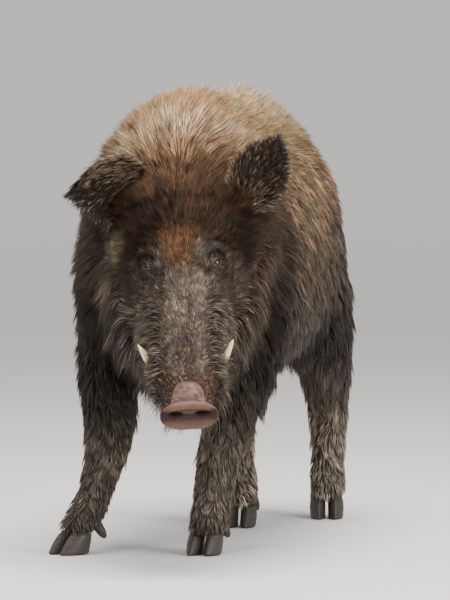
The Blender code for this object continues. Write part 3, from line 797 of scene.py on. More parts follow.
        # The tear streak from the inner corner: made wet, and coloured pale as a painted glint.
        wet_tear_glint = between(along, 0.0115, 0.0125, 0.017, 0.022)
        wet_tear_glint *= fall(np.abs(over), 0.0008, 0.0020) * (out > 0) * r.in_head
        colour = mix(colour, self.wet_tear_glint, 0.7 * wet_tear_glint)
        return colour, np.max([damp, corner, wet_tear_glint, 0.35 * lid * r.in_head], axis=0)


MARKINGS = Markings()


# Finishes


@dataclass
class Graph:
    """The shader nodes of one material."""

    name: str
    material: Material = field(init=False)
    nodes: bpy.types.Nodes = field(init=False)
    links: bpy.types.NodeLinks = field(init=False)
    shader: bpy.types.Node = field(init=False)

    def __post_init__(self) -> None:
        """Makes the material with its Principled shader."""
        self.material = bpy.data.materials.new(self.name)
        self.material.use_nodes = True
        self.nodes = self.material.node_tree.nodes
        self.links = self.material.node_tree.links
        self.shader = self.nodes["Principled BSDF"]

    def node(self, kind: str, values: dict | None = None) -> bpy.types.Node:
        """A new node.

        Args:
            kind: Its type, without the words ShaderNode.
            values: Constants for its inputs.

        Returns:
            The node.
        """
        node = self.nodes.new(f"ShaderNode{kind}")
        for key, value in (values or {}).items():
            node.inputs[key].default_value = value
        return node

    def spot(self) -> NodeSocket:
        """The place on the object."""
        return self.node("TexCoord").outputs["Object"]

    def noise(self, where: NodeSocket, scale: float | tuple, detail: float = 2.0) -> NodeSocket:
        """A noise texture.

        Args:
            where: The coordinates that it is read at.
            scale: One scale, or one for each of the three coordinates.
            detail: How fine it is.

        Returns:
            Its strength.
        """
        if isinstance(scale, tuple):
            mapping = self.node("Mapping", {"Scale": scale})
            self.links.new(where, mapping.inputs["Vector"])
            where = mapping.outputs["Vector"]
            scale = 1.0
        texture = self.node("TexNoise", {"Scale": scale, "Detail": detail})
        self.links.new(where, texture.inputs["Vector"])
        return texture.outputs["Fac"]

    def stored(self, name: str) -> bpy.types.Node:
        """A node that reads a stored value of the mesh."""
        node = self.node("Attribute")
        node.attribute_name = name
        return node

    def spread(self, value: NodeSocket, low: float, high: float,
               out: tuple) -> NodeSocket:
        """Maps low..high onto the two values of out.

        Args:
            value: What is mapped.
            low: Maps to the first value of out.
            high: Maps to the second.
            out: The two values.

        Returns:
            The mapped value.
        """
        ends = {"From Min": low, "From Max": high, "To Min": out[0], "To Max": out[1]}
        node = self.node("MapRange", ends)
        self.links.new(value, node.inputs["Value"])
        return node.outputs["Result"]

    def ramp(self, value: NodeSocket, *ends: tuple) -> NodeSocket:
        """A colour between two (place, colour) ends."""
        node = self.node("ValToRGB")
        for element, (place, colour) in zip(node.color_ramp.elements, ends):
            element.position = place
            element.color = (*colour, 1.0)
        self.links.new(value, node.inputs["Fac"])
        return node.outputs["Color"]

    def paint(self, grain: NodeSocket, contrast: tuple) -> None:
        """Gives the shader the mesh's own colours, uneven by the grain.

        Args:
            grain: The unevenness.
            contrast: How dark and how bright it makes the colours.
        """
        times = self.node("VectorMath")
        times.operation = "SCALE"
        self.links.new(self.stored(COLOUR).outputs["Color"], times.inputs[0])
        self.links.new(self.spread(grain, 0.3, 0.7, contrast), times.inputs["Scale"])
        self.links.new(times.outputs["Vector"], self.shader.inputs["Base Color"])

    def gloss(self, dry: float, wet: float) -> None:
        """Makes the shader smoother where the mesh is damp."""
        rough = self.spread(self.stored(DAMP).outputs["Fac"], 0.0, 1.0, (dry, wet))
        self.links.new(rough, self.shader.inputs["Roughness"])

    def bump(self, height: NodeSocket, strength: float, distance: float,
             under: NodeSocket | None = None) -> NodeSocket:
        """Bumps on the surface, which the shader takes.

        Args:
            height: Their height.
            strength: How strong they are.
            distance: How high they are.
            under: Bumps that they lie on.

        Returns:
            The bumped normal.
        """
        node = self.node("Bump", {"Strength": strength, "Distance": distance})
        self.links.new(height, node.inputs["Height"])
        if under is not None:
            self.links.new(under, node.inputs["Normal"])
        self.links.new(node.outputs["Normal"], self.shader.inputs["Normal"])
        return node.outputs["Normal"]


@dataclass(frozen=True)
class BristleFinish:
    """Coarse hair: the coat's stored colour in fine strands, painted sunlight and glints included, duller
    where it is dry.
    """

    name: str = "wet_bristles"
    strands: float = 5.0
    contrast: tuple = (0.72, 1.28)
    dry: float = 0.70
    wet: float = 0.27
    shine: float = 0.26
    bump: float = 0.35

    def material(self) -> Material:
        """The hair material."""
        graph = Graph(self.name)
        graph.shader.inputs["Specular IOR Level"].default_value = self.shine
        strand = graph.node("UVMap")
        strand.uv_map = STRAND
        grain = graph.noise(strand.outputs["UV"], (self.strands, 0.8, 1.0), 1.0)
        graph.paint(grain, self.contrast)
        graph.gloss(self.dry, self.wet)
        graph.bump(grain, self.bump, 0.0004)
        return graph.material


@dataclass(frozen=True)
class HideFinish:
    """Skin: its stored colour, painted shade and a painted glint included, with pores and fine creases."""

    pores: float = 700.0
    creases: float = 320.0
    dry: float = 0.75
    wet: float = 0.28
    shine: float = 0.22

    def material(self) -> Material:
        """The skin material."""
        graph = Graph("hide")
        graph.shader.inputs["Specular IOR Level"].default_value = self.shine
        spot = graph.spot()
        pore = graph.noise(spot, self.pores)
        crease = graph.node("TexVoronoi", {"Scale": self.creases})
        crease.feature = "DISTANCE_TO_EDGE"
        graph.links.new(spot, crease.inputs["Vector"])
        graph.paint(pore, (0.80, 1.20))
        graph.gloss(self.dry, self.wet)
        fold = graph.bump(graph.spread(crease.outputs["Distance"], 0.0, 0.12, (0.0, 1.0)), 0.16, 0.0006)
        graph.bump(pore, 0.4, 0.0004, under=fold)
        return graph.material


@dataclass(frozen=True)
class EyeFinish:
    """A wet dark eye."""

    roughness: float = 0.06
    shine: float = 0.3
    tears: float = 0.3
    tear_roughness: float = 0.03

    def material(self) -> Material:
        """The eye material."""
        graph = Graph("wet_eye")
        graph.paint(graph.noise(graph.spot(), 900.0), (0.7, 1.3))
        graph.shader.inputs["Roughness"].default_value = self.roughness
        graph.shader.inputs["Specular IOR Level"].default_value = self.shine
        graph.shader.inputs["Coat Weight"].default_value = self.tears
        graph.shader.inputs["Coat Roughness"].default_value = self.tear_roughness
        return graph.material


@dataclass(frozen=True)
class IvoryFinish:
    """Ivory with fine lengthwise streaks, stained where it leaves the lip."""

    roughness: float = 0.30

    def material(self) -> Material:
        """The tusk material."""
        graph = Graph("ivory")
        streak = graph.noise(graph.spot(), (900.0, 900.0, 120.0))
        graph.paint(streak, (0.84, 1.10))
        graph.shader.inputs["Roughness"].default_value = self.roughness
        graph.bump(streak, 0.25, 0.0003)
        return graph.material


@dataclass(frozen=True)
class HornFinish:
    """Dark horn with level growth rings."""

    dark: tuple = (0.018, 0.014, 0.011)
    pale: tuple = (0.062, 0.050, 0.039)

    def material(self) -> Material:
        """The hoof material."""
        graph = Graph("horn")
        ring = graph.noise(graph.spot(), (40.0, 40.0, 520.0), 3.0)
        colour = graph.ramp(ring, (0.35, self.dark), (0.75, self.pale))
        graph.links.new(colour, graph.shader.inputs["Base Color"])
        rough = graph.spread(ring, 0.3, 0.7, (0.40, 0.62))
        graph.links.new(rough, graph.shader.inputs["Roughness"])
        graph.bump(ring, 0.5, 0.0006)
        return graph.material


# Skin


@dataclass
class Flesh:
    """The CAD's flesh grown together into one smooth closed form, out to the tips of the coat."""

    def form(self, voxel: float, rounds: int, name: str) -> Mesh:
        """The form as a mesh.

        Args:
            voxel: Size of its faces.
            rounds: How many times it is smoothed.
            name: Name of the mesh.

        Returns:
            A closed mesh.
        """
        bm = bmesh.new()
        for node in FLESH_NODES:
            if not node.startswith("ear"):
                bm.from_mesh(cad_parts[node].data)
        bmesh.ops.remove_doubles(bm, verts=bm.verts[:], dist=1e-6)
        return remeshed(add_object(name, mesh_from(bm, name)), voxel, rounds, name)


@dataclass
class BodySkin:
    """The skin of the trunk, neck, legs and tail, under the coat."""

    fine: float = 0.0075  # size of the faces of the form that it starts from
    rounds: int = 9
    voxel: float = 0.0098
    last_rounds: int = 3
    buried: float = 0.034  # how far it sinks inside the head

    def build(self, flesh: Flesh) -> Mesh:
        """The body's skin.

        Args:
            flesh: The form out to the tips of the coat.

        Returns:
            A closed mesh, sunk deep where the head covers it.
        """
        mesh = flesh.form(self.fine, self.rounds, "body_skin")
        points = places(mesh)
        out = normals(mesh)
        region = Region(points, out)
        s = region.head[:, 1]
        covered = fall(s, 0.375, 0.410) * smooth(region.in_head, 0.25, 0.75)
        depth = mix(region.depth(), self.buried, covered)
        points = points - out * depth[:, None]
        for leg in LEGS:
            near = leg.around(points - FORELEGS)[0] < 1.8
            low = near & (points[:, 2] < 0.085)
            _, x, y, _, _ = leg.slices[-1]
            middle = np.array((x, y)) + FORELEGS[:2]
            pinch = mix(np.ones(low.sum()), 0.80, fall(points[low, 2], 0.044, 0.080))
            points[low, :2] = middle + (points[low, :2] - middle) * pinch[:, None]
        set_places(mesh, points)
        return remeshed(add_object("body_skin", mesh), self.voxel, self.last_rounds, "body_skin")


@dataclass
class HeadSkin:
    """The skin of the head, ring by ring from the middle of the snout's disc to behind the ears."""

    segments: int = 224
    reach: float = 0.430
    widest: float = 0.165
    rim: float = 0.0034

    def rows(self) -> tuple:
        """How far each ring lies out on the disc, from 0 to 1, and along the head."""
        disc = np.linspace(0.03, 0.97, 36)
        turn = np.linspace(0.0, math.pi / 2, 6)
        along = np.concatenate([
            np.arange(0.0048, 0.062, 0.0015), np.arange(0.062, 0.262, 0.0024),
            np.arange(0.262, 0.345, 0.0014), np.arange(0.345, self.reach, 0.0042),
        ])
        return disc, turn, along

    def angles(self) -> Rows:
        """The places of the segments, closer together at the eyes."""
        fine = np.linspace(-math.pi, math.pi, 7201)
        toward = np.minimum(np.abs(fine - math.radians(50)), np.abs(fine - math.radians(130)))
        weight = 1.0 + 2.2 * fall(toward, math.radians(9), math.radians(18))
        total = np.concatenate([[0.0], np.cumsum(weight[1:])])
        share = np.arange(self.segments) / self.segments * total[-1]
        return np.interp(share, total, fine)

    def outline(self, along: Rows, angle: Rows) -> Rows:
        """The snout's outline.

        Args:
            along: Distances from the disc.
            angle: Angles round the head.

        Returns:
            Across and up for each distance and angle.
        """
        rows = stops(along, (0.0, (0.0525, 0.0285, -0.0285, 1.9)), (0.004, (0.0535, 0.0295, -0.029, 1.9)),
                     (0.008, (0.0525, 0.0290, -0.029, 1.7)), (0.0135, (0.0470, 0.0270, -0.028, 1.4)),
                     (0.022, (0.0445, 0.0285, -0.030, 1.2)), (0.034, (0.0445, 0.034, -0.033, 1.1)),
                     (0.060, (0.052, 0.039, -0.037, 1.1)))
        cos = np.cos(angle)
        sin = np.sin(angle)
        wide, top, bottom, power = (rows[:, k][:, None] for k in range(4))
        power = np.where(sin > 0, power, 1.0 + 0.2 * (power - 1.0))
        across = wide * np.sign(cos) * np.abs(cos) ** (1.0 / power)
        up = np.where(sin > 0, top * sin, -bottom * sin)
        return columns(across, up)

    def surface(self, flesh: Flesh) -> Rows:
        """The rings of the head out to the tips of the coat, as an array in the head's frame."""
        form = flesh.form(0.005, 12, "head_form")
        points = HEAD.inward(places(form))
        tree = tree_of(form, points)
        bpy.data.meshes.remove(form)
        disc, turn, along = self.rows()
        angle = self.angles()
        even = np.arange(0.004, self.reach + 0.003, 0.0025)
        round_ = np.linspace(-math.pi, math.pi, 241)[:-1]
        middle = stops(even, (0.05, 0.0), (0.20, -0.020), (0.30, -0.030), (0.43, -0.015))
        radius = np.empty((len(even), len(round_)))
        for i, s in enumerate(even):
            start = Vector((0.0, s, middle[i]))
            for j, a in enumerate(round_):
                hit = tree.ray_cast(start, Vector((math.cos(a), 0.0, math.sin(a))))
                radius[i, j] = hit[3] if hit[0] is not None else 0.05
        radius = np.minimum(radius, self.widest)
        self.fill_sockets(radius, even, round_, middle)
        for _ in range(8):
            radius = 0.5 * radius + 0.25 * (np.roll(radius, 1, axis=1) + np.roll(radius, -1, axis=1))
            radius[1:-1] = 0.5 * radius[1:-1] + 0.25 * (radius[:-2] + radius[2:])
        loop = np.concatenate([radius, radius[:, :1]], axis=1)
        rings = np.stack([np.interp(angle, np.append(round_, math.pi), row) for row in loop])
        radius = np.stack([np.interp(along, even, column) for column in rings.T], axis=1)
        middle = np.interp(along, even, middle)
        high = middle[:, None] + radius * np.sin(angle)
        cast = columns(radius * np.cos(angle), along[:, None], high)
        edge = self.outline(along, angle)
        lean = DISC_TILT * np.clip(1.0 - along / 0.08, 0.0, 1.0)[:, None]
        drawn = columns(edge[..., 0], along[:, None] + lean * edge[..., 1], edge[..., 1])
        side = mix(drawn, cast, smooth(along, 0.028, 0.056)[:, None] * np.ones(len(angle)))
        first = self.outline(np.array([self.rim]), angle)[0]
        inner = first * (1.0 - self.rim / np.linalg.norm(first, axis=1, keepdims=True))
        flat = disc[:, None, None] * inner[None]
        face = columns(flat[..., 0], DISC_TILT * flat[..., 1], flat[..., 1])
        bend = inner[None] + (first - inner)[None] * np.sin(turn)[:, None, None]
        round_ = self.rim * (1.0 - np.cos(turn))[:, None]
        corner = columns(bend[..., 0], round_ + DISC_TILT * bend[..., 1], bend[..., 1])
        back = []
        for extra, shrink in ((0.004, 0.86), (0.006, 0.60), (0.007, 0.30), (0.0075, 0.10)):
            ring = cast[-1].copy()
            ring[:, 1] += extra
            ring[:, 0] *= shrink
            ring[:, 2] = middle[-1] + (ring[:, 2] - middle[-1]) * shrink
            back.append(ring)
        return np.concatenate([face, corner, side, np.stack(back)])

    def fill_sockets(self, radius: Rows, along: Rows, angle: Rows,
                     middle: Rows) -> None:
        """Carries the skin smoothly across the sockets of the eyes and tusks.

        Args:
            radius: The distances from the head's middle, which change.
            along: Their distances along the head.
            angle: Their angles.
            middle: The height of the head's middle.
        """
        v = radius * np.cos(angle)
        u = middle[:, None] + radius * np.sin(angle)
        spots = columns(np.abs(v), along[:, None], u)
        eye = np.linalg.norm(spots - np.array(EYE.centre), axis=-1) < 0.026
        tusk = np.linalg.norm(spots - np.array((0.066, 0.142, -0.020)), axis=-1) < 0.022
        hole = (eye | tusk)[1:-1]
        for _ in range(400):
            near = (np.roll(radius, 1, axis=1) + np.roll(radius, -1, axis=1))[1:-1] + radius[:-2] + radius[2:]
            radius[1:-1][hole] = near[hole] / 4

    def grid_normals(self, grid: Rows) -> Rows:
        """The outward normals of the rings, carried on unchanged where they close behind the ears."""
        around = np.roll(grid, -1, axis=1) - np.roll(grid, 1, axis=1)
        down = np.gradient(grid, axis=0)
        out = unit(np.cross(down, around))
        out[-6:] = out[-7]
        return out

    def relief(self, grid: Rows) -> Rows:
        """How far the skin stands out from its plain form: the muzzle's folds, lips and brows.

        Args:
            grid: The rings in the head's frame.

        Returns:
            One distance for each point.
        """
        flat = grid.reshape(-1, 3)
        v, s, u = flat.T
        side = np.abs(v)
        warp = 0.004 * lumps(flat, 0.02, 11)
        folds = np.sin((s + warp) / 0.0052 * 2 * math.pi)
        out = 0.00035 * folds * between(s, 0.014, 0.022, 0.05, 0.07) * smooth(u, 0.0, 0.015)
        waves = np.sin((s + 2.2 * warp) / 0.0135 * 2 * math.pi)
        out += 0.0016 * waves * between(s, 0.06, 0.08, 0.19, 0.23) * smooth(side, 0.030, 0.05)
        groove = stops(s, (0.03, -0.036), (0.10, -0.040), (0.20, -0.050))
        out -= 0.005 * bell(u, groove, 0.0026) * between(s, 0.02, 0.03, 0.20, 0.22)
        lip = np.sqrt((side - 0.072) ** 2 + (s - 0.132) ** 2 + (u + 0.018) ** 2)
        out += 0.0035 * bell(lip, 0.0, 0.014)
        out += 0.002 * bell(v, 0.0, 0.022) * between(s, 0.016, 0.03, 0.05, 0.065) * (u > 0)
        out -= 0.0018 * bell(v, 0.0, 0.009) * between(s, 0.10, 0.14, 0.26, 0.30) * (u > 0)
        out += 0.0022 * bell(side, 0.026, 0.010) * between(s, 0.10, 0.15, 0.25, 0.29) * (u > 0)
        slit, over, gaze = EYE.seen(flat)
        ring = np.hypot(slit, over)
        brow_side = smooth(over * EYE.up(), 0.0, 0.010)
        out += 0.0040 * bell(ring, 0.025, 0.007) * brow_side * (gaze > -0.01)
        out -= 0.0016 * bell(ring, 0.0175, 0.0022) * (gaze > -0.01)
        bag = bell(ring, 0.0215, 0.003) * smooth(-over * EYE.up(), 0.0, 0.008)
        out += 0.0012 * bag * (gaze > -0.01)
        fine = 0.0005 * lumps(flat, 0.007, 12) + 0.0003 * lumps(flat, 0.003, 13)
        out += fine * smooth(s, 0.004, 0.02) * (1.0 + 1.2 * (s < 0.06))
        return out.reshape(grid.shape[:2])

    def nostrils(self, grid: Rows, rows: int) -> None:
        """Sinks the nostrils and shapes the disc between its middle and its rim.

        Args:
            grid: The rings, which change.
            rows: How many of them lie on the disc.
        """
        face = grid[:rows]
        v = face[..., 0]
        u = face[..., 2]
        hole = fall(nostril(v, u, 0.0065), 0.35, 0.95)
        out = np.hypot(v / 0.0535, u / 0.029)
        swell = 0.0020 * bell(out, 0.93, 0.07)
        lower = 0.0022 * bell(u, -0.016, 0.009) * fall(np.abs(v), 0.02, 0.045)
        above = 0.0036 * bell(u, 0.011, 0.0065) * fall(np.abs(v), 0.034, 0.048)
        grooved = 0.0010 * bell(v, 0.0, 0.003) * smooth(-u, -0.004, 0.01)
        face[..., 1] += 0.014 * hole - swell - lower + above + grooved
        face[..., 2] += 0.003 * hole

    def hollows(self, grid: Rows) -> None:
        """Hollows the skin where the eyes are.

        Args:
            grid: The rings, which change.
        """
        flat = grid.reshape(-1, 3)
        along, over, out = EYE.seen(flat)
        ring = np.hypot(along, over)
        share = fall(EYE.beyond(flat), 0.0022, 0.0042)
        near = np.flatnonzero((share > 0) & (ring < 0.0165))
        floor = np.sqrt(np.maximum(0.0108**2 - ring[near] ** 2, 0.0))
        drop = np.maximum(out[near] - floor, 0.0) * share[near]
        mirror = columns(np.sign(flat[near, 0]), 1.0, 1.0)
        flat[near] -= drop[:, None] * EYE.axes()[2] * mirror
        grid[:] = flat.reshape(grid.shape)

    def build(self, flesh: Flesh) -> Mesh:
        """The head's skin.

        Args:
            flesh: The form out to the tips of the coat.

        Returns:
            A closed mesh.
        """
        grid = self.surface(flesh)
        disc, turn, _ = self.rows()
        face_rows = len(disc) + len(turn)
        out = self.grid_normals(grid)
        region = Region(HEAD.outward(grid.reshape(-1, 3)), HEAD.turned(out.reshape(-1, 3)))
        sink = region.depth().reshape(grid.shape[:2])
        sink[:face_rows] = 0.0
        sink += 0.030 * smooth(grid[..., 1], 0.402, 0.432)
        grid = grid - out * sink[..., None]
        self.nostrils(grid, face_rows)
        rise = self.relief(grid)
        rise[:face_rows] *= 0.3
        grid = grid + self.grid_normals(grid) * rise[..., None]
        self.hollows(grid)
        rings = len(grid)
        bm = bmesh.new()
        bmesh.ops.create_uvsphere(bm, u_segments=self.segments, v_segments=rings + 1, radius=1.0)
        for vertex in bm.verts:
            x, y, z = vertex.co
            ring = round(math.acos(max(-1.0, min(1.0, z))) / math.pi * (rings + 1))
            if ring == 0:
                spot = grid[0].mean(axis=0)
            elif ring == rings + 1:
                spot = grid[-1].mean(axis=0)
            else:
                step = round(math.atan2(y, x) / (2 * math.pi) * self.segments) % self.segments
                spot = grid[ring - 1, step]
            vertex.co = spot
        bmesh.ops.transform(bm, matrix=HEAD.matrix(), verts=bm.verts[:])
        return mesh_from(bm, "head_skin")


@dataclass(frozen=True)
class Lids:
    """The rim of skin round one eye: its edge, the roll of the lids and the part under the skin.

    Each step of the section gives how far it lies outside the opening and its distance from the
    middle of the eye.
    """

    section: tuple = (
        (0.0, 0.0137), (0.0002, 0.0144), (0.0007, 0.0149), (0.0015, 0.0151), (0.0026, 0.0150),
        (0.0040, 0.0149), (0.0056, 0.0146), (0.0068, 0.0130), (0.0060, 0.0115), (0.0035, 0.0105),
        (0.0010, 0.0105), (0.0, 0.0115), (0.0, 0.0126),
    )
    steps: int = 96

    def build(self, side: float, name: str) -> Mesh:
        """One pair of lids.

        Args:
            side: 1 for the boar's left and -1 for its right.
            name: Name of the mesh.

        Returns:
            A closed ring.
        """
        count = len(self.section)
        bm = bmesh.new()
        made = bmesh.ops.create_circle(bm, segments=count, radius=0.3)
        bmesh.ops.rotate(bm, matrix=Matrix.Rotation(math.pi / 2, 3, "X"), verts=made["verts"])
        bmesh.ops.translate(bm, vec=(1.0, 0.0, 0.0), verts=made["verts"])
        bmesh.ops.spin(bm, geom=bm.verts[:] + bm.edges[:], axis=(0, 0, 1), cent=(0, 0, 0),
                       steps=self.steps, angle=2 * math.pi, use_merge=True)
        slit, over, gaze = EYE.axes()
        start = math.atan2(made["verts"][0].co.z, made["verts"][0].co.x - 1.0)
        for vertex in bm.verts:
            x, y, z = vertex.co
            around = math.atan2(y, x)
            step = round((math.atan2(z, math.hypot(x, y) - 1.0) - start) / (2 * math.pi) * count) % count
            beyond, far = self.section[step]
            c, s = math.cos(around), math.sin(around)
            along = EYE.half_length * c
            edge = np.array((along, math.copysign(float(EYE.opening(np.array(along))), s)))
            out = np.array((c * 0.55, s))
            flat = edge + out / np.linalg.norm(out) * beyond
            ring = float(np.linalg.norm(flat))
            height = math.sqrt(max(far**2 - ring**2, 0.0)) - 0.6 * max(0.0, ring - far)
            spot = np.array(EYE.centre) + flat[0] * slit + flat[1] * over + height * gaze
            vertex.co = (spot[0] * side, spot[1], spot[2])
        bmesh.ops.transform(bm, matrix=HEAD.matrix(), verts=bm.verts[:])
        return mesh_from(bm, name)


@dataclass
class Ear:
    """A cupped ear: base, tip, the way across it and the way it opens, from the line of the forelegs."""

    name: str
    base: tuple
    tip: tuple
    across: tuple
    opens: tuple
    half_width: float
    cup: float
    curl: float
    droop: float
    ragged: bool = False
    root: float = -0.26  # how far its root goes into the head, as a share of its length
    thick: float = 0.0030

    def at(self, t: Rows, q: Rows) -> Rows:
        """Points of the ear's middle sheet.

        Args:
            t: From the base, 0, to the tip, 1.
            q: Across, from -1 to 1.

        Returns:
            One point of the row's frame for each pair.
        """
        base = np.array(self.base) + FORELEGS
        tip = np.array(self.tip) + FORELEGS
        axis = tip - base
        across = np.array(self.across)
        across = unit(across - axis * across.dot(axis) / axis.dot(axis))
        opens = np.array(self.opens)
        opens = opens - axis * opens.dot(axis) / axis.dot(axis)
        opens = unit(opens - across * opens.dot(across))
        width = self.half_width * curve(t, (self.root, 0.50), (0.0, 0.62), (0.2, 0.86), (0.45, 0.98),
                                        (0.7, 0.80), (0.88, 0.46), (1.0, 0.10))
        depth = self.cup * width * (1 - q * q) * (1 - 0.35 * t)
        fold = self.curl * width * np.maximum(0.0, q - 0.35) ** 1.5
        reach = q - 0.6 * self.curl * np.maximum(0.0, q - 0.55)
        droop = self.droop * np.maximum(t, 0.0) ** 2
        return (base + axis * t[:, None] + across * (width * reach)[:, None]
                + opens * (droop - depth + fold)[:, None])

    def out(self, t: Rows, q: Rows) -> Rows:
        """The directions out of the ear's hollow side."""
        step = 1e-3
        up = self.at(t + step, q) - self.at(t - step, q)
        over = self.at(t, q + step) - self.at(t, q - step)
        facing = unit(np.cross(up, over))
        return facing * np.sign(np.sum(facing * np.array(self.opens), axis=1, keepdims=True))

    def build(self) -> Mesh:
        """The ear's skin as a closed mesh."""
        bm = bmesh.new()
        bmesh.ops.create_grid(bm, x_segments=30, y_segments=46, size=0.5)
        flat = np.array([v.co for v in bm.verts])
        t = self.root + (flat[:, 1] + 0.5) * (1.0 - self.root)
        move(bm, self.at(t, flat[:, 0] * 2.0))
        obj = add_object(self.name, mesh_from(bm, self.name))
        shell = obj.modifiers.new("thickness", "SOLIDIFY")
        shell.thickness = self.thick
        shell.offset = 0.0
        return evaluated(obj, self.name)


EARS = (
    Ear("left_ear", (0.150, -0.268, 0.668), (0.217, -0.268, 0.790), (0.74, 0.20, -0.64),
        (-0.18, -0.95, -0.10), 0.046, 0.42, 0.0, 0.0),
    Ear("right_ear", (-0.026, -0.262, 0.716), (-0.156, -0.314, 0.694), (0.10, 0.05, 0.99),
        (-0.30, -0.95, -0.12), 0.062, 0.38, 0.35, 0.012, ragged=True),
)


@dataclass
class Hide:
    """The whole skin as one closed piece."""

    mesh: Mesh | None = None
    on_ear: Rows | None = None  # for each triangle

    def build(self) -> None:
        """Grows the body, the head and the ears into one."""
        flesh = Flesh()
        body = add_object("hide", BodySkin().build(flesh))
        parts = [HeadSkin().build(flesh)] + [ear.build() for ear in EARS]
        parts += [Lids().build(side, f"lids_{word}") for side, word in SIDES]
        tools = [add_object(mesh.name, mesh) for mesh in parts]
        for tool in tools:
            step = body.modifiers.new("join", "BOOLEAN")
            step.operation = "UNION"
            step.solver = "MANIFOLD"
            step.object = tool
        self.mesh = evaluated(body, "hide")
        ears = [tree_of(mesh, places(mesh)) for mesh in parts[1:3]]
        for tool in tools:
            bpy.data.objects.remove(tool)
        bm = bmesh.new()
        bm.from_mesh(self.mesh)
        bmesh.ops.triangulate(bm, faces=bm.faces[:])
        self.keep_largest(bm)
        bm.to_mesh(self.mesh)
        bm.free()
        self.mesh.shade_smooth()
        self.mark_ears(ears)

    def keep_largest(self, bm: BMesh) -> None:
        """Leaves only the largest connected shell of a bmesh."""
        left = set(bm.verts)
        shells = []
        while left:
            shell = set()
            edge = {left.pop()}
            while edge:
                shell |= edge
                edge = {e.other_vert(v) for v in edge for e in v.link_edges} - shell
            left -= shell
            shells.append(shell)
        largest = max(shells, key=len)
        bmesh.ops.delete(bm, geom=[v for v in bm.verts if v not in largest], context="VERTS")

    def mark_ears(self, ears: list) -> None:
        """Notes which triangles are on an ear."""
        middle = self.triangles()[0].mean(axis=1)
        self.on_ear = np.zeros(len(middle), bool)
        for tree, ear in zip(ears, EARS):
            base = np.array(ear.base) + FORELEGS
            close = np.flatnonzero(np.linalg.norm(middle - base, axis=1) < 0.22)
            for k in close:
                if tree.find_nearest(Vector(middle[k]), 2e-4)[0] is not None:
                    self.on_ear[k] = True

    def triangles(self) -> tuple:
        """The skin's triangles.

        Returns:
            Corners, normals at the corners, and areas.
        """
        points = places(self.mesh)
        out = normals(self.mesh)
        index = np.empty(len(self.mesh.polygons) * 3, np.int32)
        self.mesh.loops.foreach_get("vertex_index", index)
        index = index.reshape(-1, 3)
        corners = points[index]
        double = np.cross(corners[:, 1] - corners[:, 0], corners[:, 2] - corners[:, 0])
        return corners, out[index], np.linalg.norm(double, axis=1) / 2

    def dress(self) -> Object:
        """Colours the skin and puts it in the scene in place of the CAD's flesh."""
        colour, damp = MARKINGS.skin(Region(places(self.mesh), normals(self.mesh)))
        set_colour(self.mesh, colour)
        set_damp(self.mesh, damp)
        obj = add_object("hide", self.mesh)
        self.mesh.materials.clear()
        self.mesh.materials.append(HideFinish().material())
        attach(obj, BODY)
        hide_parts(*FLESH_NODES)
        return obj


# Coat


@dataclass
class Locks:
    """Where the locks of one piece of coat grow, one row each."""

    root: Rows
    normal: Rows
    flow: Rows
    length: Rows
    width: Rows
    lift: Rows  # angle off the skin
    droop: Rows
    at_root: Rows  # colour
    at_tip: Rows
    damp: Rows
    gather: Rows  # how far each tip moves to its clump's
    chart: Rows  # place on the flat unwrap


